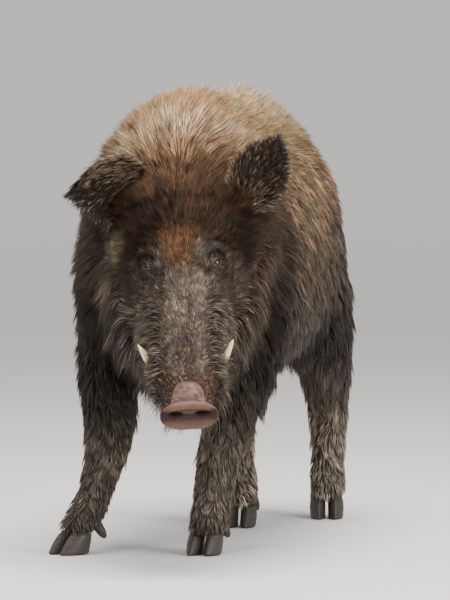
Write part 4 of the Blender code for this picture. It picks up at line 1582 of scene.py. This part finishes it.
@dataclass
class CoatPiece:
    """One piece of the coat as a solid mesh of tapered locks."""

    name: str
    kind: Lock = Lock.BENT
    clump: int = 9  # locks in a clump
    seed: int = 1
    patch: float = 0.003  # size of a lock on the unwrap
    proud: float = 0.018  # how far it may stand out of the CAD's box

    def build(self, locks: Locks) -> Object:
        """Makes the locks and puts them in the scene.

        Args:
            locks: Where they grow and how.

        Returns:
            The object.
        """
        verts, colours, damp, strand, chart = self.shape(locks)
        count, per = verts.shape[:2]
        faces = np.array(self.faces())
        index = (np.arange(count)[:, None, None] * per + faces[None]).reshape(-1)
        mesh = bpy.data.meshes.new(self.name)
        mesh.vertices.add(count * per)
        mesh.loops.add(len(index))
        mesh.polygons.add(len(index) // 3)
        mesh.vertices.foreach_set("co", verts.astype(np.float32).ravel())
        mesh.loops.foreach_set("vertex_index", index.astype(np.int32))
        mesh.polygons.foreach_set("loop_start", np.arange(0, len(index), 3, dtype=np.int32))
        mesh.update(calc_edges=True)
        mesh.shade_smooth()
        set_colour(mesh, colours.reshape(-1, 3))
        set_damp(mesh, damp.reshape(-1))
        for name, rows in (("OFBake", chart), (STRAND, strand)):
            layer = mesh.uv_layers.new(name=name)
            layer.uv.foreach_set("vector", rows.reshape(-1, 2)[index].astype(np.float32).ravel())
        return add_object(self.name, mesh)

    def faces(self) -> tuple:
        """The triangles of one lock."""
        if self.kind is Lock.STUB:
            return ((0, 1, 2), (0, 3, 1), (0, 2, 3), (2, 1, 3))
        return ((0, 1, 2), (0, 3, 4), (0, 4, 1), (3, 6, 4), (0, 2, 5), (0, 5, 3), (2, 1, 4), (2, 4, 5),
                (3, 5, 6), (5, 4, 6))

    def shape(self, k: Locks) -> tuple:
        """The corners of every lock.

        Args:
            k: The locks.

        Returns:
            Corners, colours, wetness, and their places on the strand map and on the unwrap.
        """
        rng = np.random.default_rng(self.seed)
        count = len(k.root)
        centres = rng.permutation(count)[: max(1, count // self.clump)]
        tree = KDTree(len(centres))
        for c in centres:
            tree.insert(k.root[c], int(c))
        tree.balance()
        nearest = np.array([tree.find(p)[1] for p in k.root])
        shade = np.exp(rng.normal(0.0, 0.32, count))[nearest][:, None]
        length = k.length * rng.uniform(0.82, 1.18, count)[nearest]
        lift = k.lift * rng.uniform(0.65, 1.35, count)[nearest]
        steep = np.clip(lift * 1.25, 0.0, 1.35)[:, None]
        lower = np.clip(lift * 0.70, 0.0, 1.35)[:, None]
        first = np.cos(steep) * k.flow + np.sin(steep) * k.normal
        second = np.cos(lower) * k.flow + np.sin(lower) * k.normal
        second = second + DOWN * k.droop[:, None]
        half = (length * 0.5)[:, None]
        mid = k.root + half * unit(first + 0.35 * DOWN * k.droop[:, None])
        tip = mid + half * unit(second)
        pull = k.gather[:, None]
        tip = tip + (tip[nearest] - tip) * pull
        mid = mid + (mid[nearest] - mid) * pull * 0.45
        base = k.root - k.normal * 0.0012
        first = unit(mid - base)
        second = unit(tip - mid)
        roll = rng.normal(0.0, 0.45, count)[:, None]
        side = unit(np.cross(first, k.normal))
        ridge = np.cross(side, first)
        across = side * np.cos(roll) + ridge * np.sin(roll)
        ridge = np.cross(across, first)
        across2 = unit(across - second * np.sum(across * second, axis=1, keepdims=True))
        ridge2 = np.cross(across2, second)
        wide = (k.width * 0.5)[:, None]
        low = [base - across * wide, base + across * wide, base + ridge * wide * 0.8]
        if self.kind is Lock.STUB:
            verts = np.stack(low + [tip], axis=1)
            flat = np.array([(0, 0), (1, 0), (0.5, 0.25), (0.5, 1)], float)
            share = np.array([0, 0, 0.1, 1.0])
        else:
            high = [mid - across2 * wide * 0.80, mid + across2 * wide * 0.80, mid + ridge2 * wide * 0.6]
            verts = np.stack(low + high + [tip], axis=1)
            flat = np.array([(0, 0), (1, 0), (0.5, 0.2), (0, 0.55), (1, 0.55), (0.5, 0.7), (0.5, 1)], float)
            share = np.array([0, 0, 0.1, 0.6, 0.6, 0.65, 1.0])
        verts = np.clip(verts, np.array(CAD_BOX[0]) - self.proud, np.array(CAD_BOX[1]) + self.proud)
        at_tip = k.at_tip * shade
        colours = k.at_root[:, None] * (1 - share)[None, :, None] + at_tip[:, None] * share[None, :, None]
        damp = np.repeat(k.damp[:, None], len(share), axis=1)
        strand = flat[None] + rng.integers(0, 60, (count, 1, 1)) * np.array((1.7, 0.9))
        low_end = k.chart.min(axis=0)
        span = np.maximum(k.chart.max(axis=0) - low_end, 1e-6)
        spot = 0.004 + (k.chart - low_end) / span * 0.988
        chart = spot[:, None] + flat[None] * self.patch
        return verts, colours, damp, strand, chart


@dataclass
class Growth:
    """How densely and how finely the hair of one part of the boar grows."""

    name: str
    density: float  # locks in a square metre
    width: float
    kind: Lock = Lock.BENT
    clump: int = 9
    most: int = 18500


@dataclass
class Coat:
    """The whole coat, split into pieces by where it grows."""

    hide: Hide
    seed: int = 11
    ear_faces: tuple = ((1.0, 2300), (-1.0, 1500))  # locks on the hollow side and on the back
    ear_fringe: int = 900
    parts: tuple = (
        Growth("crown_coat", 620000, 0.0013, Lock.STUB, 8, 30000),
        Growth("face_coat", 700000, 0.0014, Lock.STUB, 9, 40000),
        Growth("cheek_coat", 140000, 0.0018, most=15500),
        Growth("neck_coat", 170000, 0.0017, Lock.STUB, 11, 41000),
        Growth("back_coat", 130000, 0.0017, Lock.STUB, 9, 45000),
        Growth("flank_left_coat", 54000, 0.0026, clump=12),
        Growth("flank_right_coat", 54000, 0.0026, clump=12),
        Growth("belly_coat", 32000, 0.0030, clump=12),
        Growth("rump_coat", 54000, 0.0025, clump=10),
        Growth("front_left_coat", 60000, 0.0022, clump=12),
        Growth("front_right_coat", 60000, 0.0022, clump=12),
        Growth("hind_left_coat", 48000, 0.0023, clump=12),
        Growth("hind_right_coat", 48000, 0.0023, clump=12),
        Growth("tail_coat", 80000, 0.0018, clump=8),
    )

    def part_of(self, r: Region) -> Rows:
        """Which of the parts each point belongs to, by its number."""
        x, y, _ = r.body.T
        s = r.head[:, 1]
        ragged = 0.10 * lumps(r.points, 0.011, 31) + 0.05 * lumps(r.points, 0.03, 32)
        out = np.where(x > 0, Part.FLANK_LEFT, Part.FLANK_RIGHT)
        out = np.where(r.height + ragged > 0.70, Part.BACK, out)
        out = np.where((r.height < 0.30) & (r.normal[:, 2] < -0.3), Part.BELLY, out)
        out = np.where((y > 0.70) & (out != Part.BACK), Part.RUMP, out)
        out = np.where(r.in_neck + ragged > 0.5, Part.NECK, out)
        shares = np.stack([leg.share(r.body) for leg in LEGS])
        out = np.where(r.in_leg > 0.4, Part.FIRST_LEG + np.argmax(shares, axis=0), out)
        out = np.where(r.in_tail > 0.5, Part.TAIL, out)
        head = r.in_head > 0.5
        low = np.maximum(np.maximum(r.cheek, r.jaw), r.beside) > 0.35
        out = np.where(head & low, Part.CHEEK, out)
        return np.where(head & ~low, np.where(s + 0.06 * ragged > 0.318, Part.CROWN, Part.FACE), out)

    def unwrap(self, part: int, r: Region) -> Rows:
        """A flat chart of the skin for one part, from the skin's own shape."""
        x, y, z = r.body.T
        v, s, u = r.head.T
        if part in (Part.CROWN, Part.FACE):
            chart = np.arctan2(v, u + 0.03), s
        elif part == Part.CHEEK:
            chart = np.arctan2(v, -u - 0.03), s
        elif Part.FIRST_LEG <= part <= Part.LAST_LEG:
            chart = LEGS[part - Part.FIRST_LEG].around(r.body)[1], z
        elif part == Part.TAIL:
            chart = np.arctan2(x - 0.012, y - 0.95), z
        elif part == Part.BELLY:
            chart = y, np.arctan2(x, 0.55 - z)
        elif part == Part.RUMP:
            chart = x + 0.3 * (y - 0.8) * np.sign(x), z
        else:
            chart = y + (0.3 * z if part == Part.NECK else 0.0), np.arctan2(x, z - 0.55)
        return columns(*chart)

    def sample(self, chance: Rows, count: int, rng: np.random.Generator) -> tuple:
        """Picks places on the skin's triangles.

        Args:
            chance: How many locks each triangle wants, relative to the others.
            count: How many places.
            rng: The random numbers.

        Returns:
            The triangles' numbers and the share of each corner.
        """
        total = np.cumsum(chance)
        spots = (np.arange(count) + rng.random(count)) / count * total[-1]
        picked = np.minimum(np.searchsorted(total, spots), len(chance) - 1)
        a = np.sqrt(rng.random(count))
        b = rng.random(count)
        return picked, columns(1 - a, a * (1 - b), a * b)

    def build(self) -> list:
        """Grows every piece of coat on the skin and returns the objects."""
        corners, out, area = self.hide.triangles()
        middle = Region(corners.mean(axis=1), unit(out.mean(axis=1)))
        part = self.part_of(middle)
        part[self.hide.on_ear] = -1
        wanted = area * fall(middle.bare, 0.25, 0.75)
        wanted[(EYE.beyond(middle.head) < 0.0030) & (middle.in_head > 0.5)] = 0.0
        wanted[(middle.body[:, 2] < 0.047) & (middle.normal[:, 2] < -0.5)] = 0.0
        dry, wet = BristleFinish("dry_bristles", shine=0.12).material(), BristleFinish().material()
        made = []
        for number, growth in enumerate(self.parts):
            chosen = np.flatnonzero(part == number)
            share = wanted[chosen]
            count = min(int(share.sum() * growth.density), growth.most)
            rng = np.random.default_rng(self.seed + number)
            picked, bary = self.sample(share, count, rng)
            picked = chosen[picked]
            root = np.einsum("nk,nkc->nc", bary, corners[picked])
            normal = unit(np.einsum("nk,nkc->nc", bary, out[picked]))
            r = Region(root, normal)
            locks = self.locks(r, growth, rng)
            locks.chart = self.unwrap(number, r)
            made.append(CoatPiece(growth.name, growth.kind, growth.clump, self.seed + number).build(locks))
        made.append(self.ear_coat())
        finishes = [dry if growth.kind is Lock.STUB else wet for growth in self.parts] + [wet]
        for obj, finish in zip(made, finishes):
            obj.data.materials.append(finish)
            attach(obj, BODY)
        return made

    def tint(self, r: Region, tips: Rows, roots: Rows, rng: np.random.Generator) -> tuple:
        """Varies the colours from lock to lock, with some dark and some straw-tipped ones.

        Args:
            r: Where the locks are.
            tips: Colours at the tips.
            roots: Colours at the roots.
            rng: The random numbers.

        Returns:
            New colours for the tips and roots.
        """
        count = len(tips)
        drift = 0.30 * lumps(r.points, 0.014, 21) + 0.34 * lumps(r.points, 0.006, 22)
        calm = 1.0 - 0.55 * r.in_leg
        dark = mix(mix(np.full(count, 0.26), 0.16, r.in_head), 0.10, r.in_leg)
        bright = np.exp(rng.normal(0.0, 1.0, count) * (0.44 * calm) + drift * calm)
        warm = rng.normal(0.0, 0.06, (count, 1)) * np.array((1.0, 0.1, -1.0))
        kind = rng.random(count)
        bright = np.where(kind < dark, bright * 0.45, bright)
        bright = np.where(kind > 0.90 + 0.35 * (0.16 - dark).clip(0.0), bright * 1.5, bright)
        tips = tips * bright[:, None] * (1.0 + warm)
        roots = roots * np.exp(rng.normal(0.0, 0.2, count))[:, None]
        return tips, roots

    def locks(self, r: Region, growth: Growth, rng: np.random.Generator) -> Locks:
        """The locks at some places of the skin.

        Args:
            r: The places.
            growth: How the hair grows there.
            rng: The random numbers.

        Returns:
            The locks, without their places on the unwrap.
        """
        count = len(r.points)
        length = r.length() * rng.uniform(0.72, 1.12, count)
        lift = r.lift() * rng.uniform(0.70, 1.25, count)
        damp = r.damp()
        droop = 0.15 + 0.55 * damp * smooth(r.length(), 0.03, 0.05)
        droop = mix(droop, 0.0, r.in_head * smooth(r.head[:, 1], 0.33, 0.37))
        flow = r.flow()
        across = np.cross(r.normal, flow)
        flow = unit(flow + across * rng.normal(0.0, 0.16, (count, 1)))
        width = growth.width * rng.uniform(0.75, 1.25, count)
        tips = MARKINGS.tips(r)
        roots = MARKINGS.roots(tips)
        # Pale grey strands on the face: partly grizzled tips, partly painted glints of wet hair.
        pale = r.in_head * fall(r.head[:, 1], 0.25, 0.28) * (rng.random(count) < 0.16)
        tips = mix(tips, (0.22, 0.185, 0.155), 0.8 * pale)
        tips, roots = self.tint(r, tips, roots, rng)
        gather = np.clip(0.35 + 0.45 * damp, 0.0, 0.85) * rng.uniform(0.6, 1.1, count)
        gather = gather * smooth(length, 0.012, 0.030)
        return Locks(r.points, r.normal, flow, length, width, lift, droop, roots, tips,
                     damp * rng.uniform(0.6, 1.1, count), gather, np.zeros((count, 2)))

    def ear_coat(self) -> Object:
        """The hair of both ears, with a fringe along their edges."""
        rng = np.random.default_rng(self.seed + 50)
        groups = []
        for number, ear in enumerate(EARS):
            for face, count in self.ear_faces:
                t = rng.uniform(-0.05, 1.0, count)
                q = rng.uniform(-1.0, 1.0, count)
                groups.append(self.ear_locks(ear, number, t, q, face, rng))
            count = self.ear_fringe
            t = rng.uniform(0.05, 1.0, count)
            q = np.where(rng.random(count) < 0.5, -1.0, 1.0) * rng.uniform(0.92, 1.0, count)
            groups.append(self.ear_locks(ear, number, t, q, 1.0, rng, fringe=True))
        joined = [np.concatenate([getattr(g, f) for g in groups]) for f in Locks.__dataclass_fields__]
        return CoatPiece("ear_coat", Lock.BENT, 8, self.seed + 50).build(Locks(*joined))

    def ear_locks(self, ear: Ear, number: int, t: Rows, q: Rows, face: float,
                  rng: np.random.Generator, fringe: bool = False) -> Locks:
        """The locks on one face or edge of an ear.

        Args:
            ear: The ear.
            number: Its number, for the unwrap.
            t: Places from the base to the tip.
            q: Places across.
            face: 1 for the hollow side, -1 for the back.
            rng: The random numbers.
            fringe: Whether they stand out along the edge.

        Returns:
            The locks.
        """
        count = len(t)
        out = ear.out(t, q) * face
        root = ear.at(t, q) + out * ear.thick * 0.5
        up = unit(ear.at(t + 0.01, q) - ear.at(t - 0.01, q))
        over = unit(ear.at(t, q + 0.01) - ear.at(t, q - 0.01))
        spread = (0.9 if face > 0 else 0.35) * q
        flow = unit(up + over * spread[:, None])
        if fringe:
            flow = unit(up * 0.7 + over * np.sign(q)[:, None])
        flow = unit(flow + rng.normal(0.0, 0.16, (count, 3)))
        flow = unit(flow - out * np.sum(flow * out, axis=1, keepdims=True))
        length = (0.024 if fringe else 0.021) * rng.uniform(0.6, 1.3, count) * (1.35 if ear.ragged else 1.0)
        lift = np.full(count, 0.10 if fringe else 0.26) * rng.uniform(0.4, 1.5, count)
        shade = np.array((0.034, 0.025, 0.019))
        pale = np.array((0.30, 0.215, 0.150) if ear.ragged else (0.20, 0.135, 0.088))
        near_base = 0.35 * fall(t, 0.1, 0.5)
        if ear.ragged:
            upper = 0.95 * smooth(q, 0.0, 0.6) * fall(t, 0.5, 0.9)
        else:
            upper = 0.25 * smooth(-q, 0.2, 0.9)
        light = rng.random(count) < 0.12 + near_base + upper
        tips = np.where(light[:, None], pale, shade) * np.exp(rng.normal(0, 0.35, count))[:, None]
        roots = np.tile(shade * 0.6, (count, 1))
        chart = columns(q * 0.5 + 1.2 * (face > 0), t + 1.3 * number)
        droop = np.full(count, 0.35 if ear.ragged else 0.10)
        return Locks(root, out, flow, length, np.full(count, 0.0014), lift, droop, roots, tips,
                     np.full(count, 0.35), np.full(count, 0.55), chart)


# Eyes, tusks and feet


@dataclass
class Eyes:
    """Both eyes, dark brown and wet."""

    def build(self) -> list:
        """Makes the two eyes and returns the objects."""
        finish = EyeFinish().material()
        made = []
        slit, over, gaze = EYE.axes()
        for side, word in SIDES:
            mirror = np.array((side, 1.0, 1.0))
            bm = bmesh.new()
            bmesh.ops.create_uvsphere(bm, u_segments=48, v_segments=32, radius=EYE.radius)
            flat = np.array([v.co for v in bm.verts])
            bulge = 1.0 + 0.045 * smooth(flat[:, 2] / EYE.radius, 0.80, 0.95)
            flat = flat * bulge[:, None]
            axes = np.stack([slit * mirror, over * mirror, gaze * mirror])
            spots = HEAD.outward(np.array(EYE.centre) * mirror + flat @ axes)
            ring = np.hypot(flat[:, 0], flat[:, 1])
            move(bm, spots)
            mesh = mesh_from(bm, f"eyeball_{word}")
            colours = stops(ring, (0.0, (0.003, 0.002, 0.002)), (0.0038, (0.003, 0.002, 0.002)),
                            (0.0042, (0.020, 0.009, 0.005)), (0.0080, (0.030, 0.013, 0.007)),
                            (0.0095, (0.008, 0.004, 0.003)), (0.0112, (0.050, 0.022, 0.016)),
                            (0.0135, (0.07, 0.03, 0.022)))
            inner = smooth(flat[:, 0], 0.0042, 0.0066)
            set_colour(mesh, mix(colours, (0.19, 0.036, 0.026), inner))
            mesh.materials.append(finish)
            obj = add_object(mesh.name, mesh)
            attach(obj, BODY)
            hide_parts(f"eye_{word}")
            made.append(obj)
        return made


@dataclass
class Tooth:
    """A curved tusk in the head's frame: root, bend, point and radius."""

    row: str
    root: tuple
    bend: tuple
    point: tuple
    radius: float

    def build(self, side: float, word: str, finish: Material) -> Object:
        """One tusk.

        Args:
            side: 1 for the boar's left and -1 for its right.
            word: left or right.
            finish: Its material.

        Returns:
            The object.
        """
        mirror = Vector((side, 1.0, 1.0))
        root, bend, point = (Vector(p) * mirror for p in (self.root, self.bend, self.point))
        bm = bmesh.new()
        bmesh.ops.create_uvsphere(bm, u_segments=28, v_segments=40, radius=1.0)
        stain = []
        for vertex in bm.verts:
            x, y, z = vertex.co
            t = (z + 1.0) / 2.0
            centre = root * (1 - t) ** 2 + bend * 2 * t * (1 - t) + point * t**2
            ahead = (bend - root) * (1 - t) + (point - bend) * t
            turn = ahead.to_track_quat("Z", "Y").to_matrix()
            angle = math.atan2(y, x)
            size = self.radius * max(0.0, 1 - t**1.5) ** 0.85 * min(1.0, (t / 0.06) ** 0.5 if t > 0 else 0.0)
            size *= 1 + 0.13 * math.cos(3 * angle) + 0.02 * math.cos(9 * angle)
            vertex.co = centre + turn @ Vector((size * math.cos(angle), size * math.sin(angle), 0.0))
            stain.append(t)
        bmesh.ops.transform(bm, matrix=HEAD.matrix(), verts=bm.verts[:])
        mesh = mesh_from(bm, f"tooth_{self.row}_{word}")
        colours = stops(np.array(stain), (0.0, (0.24, 0.14, 0.07)), (0.40, (0.50, 0.35, 0.18)),
                        (0.55, (0.86, 0.71, 0.45)), (1.0, (0.94, 0.84, 0.60)))
        set_colour(mesh, colours)
        mesh.materials.append(finish)
        obj = add_object(mesh.name, mesh)
        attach(obj, BODY)
        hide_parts(f"tusk_{self.row}_{word}")
        return obj


@dataclass
class Tusks:
    """The lower tusks and the upper ones that they whet."""

    teeth: tuple = (
        Tooth("lower", (0.050, 0.128, -0.032), (0.071, 0.138, -0.006), (0.0885, 0.152, 0.025), 0.0132),
        Tooth("upper", (0.056, 0.158, -0.016), (0.076, 0.160, -0.004), (0.079, 0.168, 0.010), 0.0056),
    )

    def build(self) -> list:
        """Makes the four tusks and returns the objects."""
        finish = IvoryFinish().material()
        return [tooth.build(side, word, finish) for tooth in self.teeth for side, word in SIDES]


@dataclass
class Foot:
    """The two hooves and two dewclaws of one leg."""

    leg: Leg
    coronet: float = 0.0437  # height of the hooves' upper edge
    claw_radii: tuple = ((0.0, 0.0085), (0.35, 0.0105), (0.75, 0.0085), (1.0, 0.0042))

    def hoof(self, side: float) -> BMesh:
        """One main hoof.

        Args:
            side: Which side of the foot it is on, 1 or -1.

        Returns:
            A bmesh with rounded toe, flat sole and growth rings.
        """
        bm = bmesh.new()
        bmesh.ops.create_uvsphere(bm, u_segments=40, v_segments=30, radius=1.0)
        place = self.leg.foot()
        for vertex in bm.verts:
            x, y, z = vertex.co
            flat = math.hypot(x, y)
            level = 0.5 + 0.5 * math.copysign(abs(z) ** (0.38 if z > 0 else 0.22), z)
            height = self.coronet * level
            fill = flat ** (0.30 if z > 0 else 0.20)
            heel, toe, inner, outer = stops(
                np.array([height]), (0.0, (-0.0165, 0.0505, 0.0030, 0.0315)),
                (0.003, (-0.018, 0.052, 0.0025, 0.0330)), (0.024, (-0.022, 0.038, 0.0022, 0.0350)),
                (self.coronet, (-0.025, 0.020, 0.0025, 0.0325)))[0]
            ridge = 0.0004 * math.sin(height / 0.0045 * 2 * math.pi)
            angle = math.atan2(y, x)
            along = math.cos(angle)
            taper = 1.0 if along < 0 else 1 - 0.42 * along**2
            span = (outer - inner) / 2
            middle = (heel + toe) / 2
            half = (toe - heel) / 2 + ridge
            across = inner + span + (span + ridge * 0.5) * math.sin(angle) * taper * fill
            across -= 0.10 * span * max(0.0, along)
            vertex.co = place @ Vector((side * across, -(middle + half * along * fill), height))
        return bm

    def claw(self, side: float) -> BMesh:
        """One dewclaw.

        Args:
            side: Which side of the foot it is on, 1 or -1.

        Returns:
            A bmesh with a rounded point.
        """
        root = Vector((0.016 * side, 0.029, 0.070))
        tip = Vector((0.028 * side, 0.053, 0.029))
        turn = (tip - root).to_track_quat("Z", "X").to_matrix()
        place = self.leg.foot()
        bm = bmesh.new()
        bmesh.ops.create_uvsphere(bm, u_segments=24, v_segments=24, radius=1.0)
        for vertex in bm.verts:
            x, y, z = vertex.co
            t = (z + 1.0) / 2.0
            radius = float(stops(np.array([t]), *self.claw_radii)[0])
            fill = min(1.0, math.hypot(x, y) / 0.45)
            radius *= fill * (1 + 0.03 * math.sin(t * 40))
            angle = math.atan2(y, x)
            round_ = Vector((radius * math.cos(angle), radius * math.sin(angle), 0.0))
            vertex.co = place @ (root.lerp(tip, t) + turn @ round_)
        return bm

    def build(self, finish: Material) -> list:
        """Makes the horn of the foot.

        Args:
            finish: Its material.

        Returns:
            The objects.
        """
        made = []
        outer = 1.0 if self.leg.name.endswith("left") else -1.0
        for side, word in ((outer, "outer"), (-outer, "inner")):
            for kind, shape in (("hoof", self.hoof), ("dewclaw", self.claw)):
                node = f"{kind}_{self.leg.name}_{word}"
                bm = shape(side)
                bmesh.ops.remove_doubles(bm, verts=bm.verts[:], dist=2e-5)
                mesh = mesh_from(bm, f"{node}_horn")
                mesh.materials.append(finish)
                obj = add_object(mesh.name, mesh)
                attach(obj, BODY)
                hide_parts(node)
                made.append(obj)
        return made


# Studio


@dataclass(frozen=True)
class Studio:
    """A pale floor, soft lights and the camera."""

    azimuth: float = math.radians(10)
    elevation: float = math.radians(3)
    distance: float = 12.0
    lens: float = 378.0
    target: tuple = (0.0709, 0.0125, 0.480)
    pale: tuple = (0.80, 0.79, 0.77)
    glow: float = 0.85  # strength of the surroundings
    fade: tuple = (4.0, 16.0)  # between these distances the floor becomes the surroundings
    floor_size: float = 60.0

    def floor(self) -> Object:
        """The floor, which fades into the pale surroundings far away."""
        bm = bmesh.new()
        bmesh.ops.create_grid(bm, x_segments=8, y_segments=8, size=self.floor_size / 2)
        mesh = mesh_from(bm, "floor", rounded=False)
        graph = Graph("pale_floor")
        spot = graph.spot()
        grain = graph.noise(spot, 60.0)
        speck = tuple(c * 0.97 for c in self.pale)
        graph.links.new(graph.ramp(grain, (0.0, speck), (1.0, self.pale)), graph.shader.inputs["Base Color"])
        graph.shader.inputs["Roughness"].default_value = 0.85
        far = graph.node("VectorMath")
        far.operation = "LENGTH"
        graph.links.new(spot, far.inputs[0])
        glow = graph.node("Emission", {"Color": (*self.pale, 1.0), "Strength": self.glow})
        both = graph.node("MixShader")
        graph.links.new(graph.spread(far.outputs["Value"], *self.fade, (0.0, 1.0)), both.inputs["Fac"])
        graph.links.new(graph.shader.outputs["BSDF"], both.inputs[1])
        graph.links.new(glow.outputs["Emission"], both.inputs[2])
        graph.links.new(both.outputs["Shader"], graph.nodes["Material Output"].inputs["Surface"])
        mesh.materials.append(graph.material)
        obj = add_object("floor", mesh)
        return obj

    def light(self, name: str, place: tuple, toward: tuple, size: float, power: float,
              colour: tuple) -> None:
        """One square soft light.

        Args:
            name: Its name.
            place: Where it hangs.
            toward: What it faces.
            size: Length of its side.
            power: In watts.
            colour: Its colour.
        """
        lamp = bpy.data.lights.new(name, "AREA")
        lamp.size = size
        lamp.energy = power
        lamp.color = colour
        obj = add_object(name, lamp)
        obj.location = place
        obj.rotation_euler = (Vector(toward) - Vector(place)).to_track_quat("-Z", "Y").to_euler()

    def build(self) -> None:
        """Sets the floor, the lights, the surroundings and the camera."""
        self.floor()
        self.light("overhead", (0.3, -0.3, 4.0), (0.0, -0.1, 0.5), 2.4, 250.0, (1.0, 0.96, 0.90))
        self.light("front", (-1.2, -4.2, 2.6), (0.0, -0.2, 0.45), 2.0, 75.0, (1.0, 0.98, 0.95))
        self.light("side", (3.4, -2.2, 2.2), (0.0, 0.0, 0.45), 1.8, 130.0, (1.0, 0.97, 0.93))
        world = bpy.data.worlds.new("pale")
        world.use_nodes = True
        back = world.node_tree.nodes["Background"]
        back.inputs["Color"].default_value = (*self.pale, 1.0)
        back.inputs["Strength"].default_value = self.glow
        bpy.context.scene.world = world
        a, e = self.azimuth, self.elevation
        back_way = Vector((math.sin(a) * math.cos(e), -math.cos(a) * math.cos(e), math.sin(e)))
        data = bpy.data.cameras.new("camera")
        data.lens = self.lens
        data.clip_end = 200.0
        camera = add_object("camera", data)
        camera.location = Vector(np.array(self.target) + FORELEGS) + back_way * self.distance
        camera.rotation_euler = (-back_way).to_track_quat("-Z", "Y").to_euler()
        bpy.context.scene.camera = camera


def main() -> None:
    """Builds the boar part by part."""
    logging.basicConfig(level=logging.INFO, format="%(relativeCreated)d %(message)s", stream=sys.stdout)
    hide = Hide()
    hide.build()
    LOG.info("hide: %d triangles, %d on the ears", len(hide.mesh.polygons), hide.on_ear.sum())
    hide.dress()
    pieces = Coat(hide).build() + Eyes().build() + Tusks().build()
    horn = HornFinish().material()
    for leg in LEGS:
        pieces += Foot(leg).build(horn)
    for obj in pieces:
        LOG.info("built %s with %d faces", obj.name, len(obj.data.polygons))
    Studio().build()


if __name__ == "__main__":
    main()
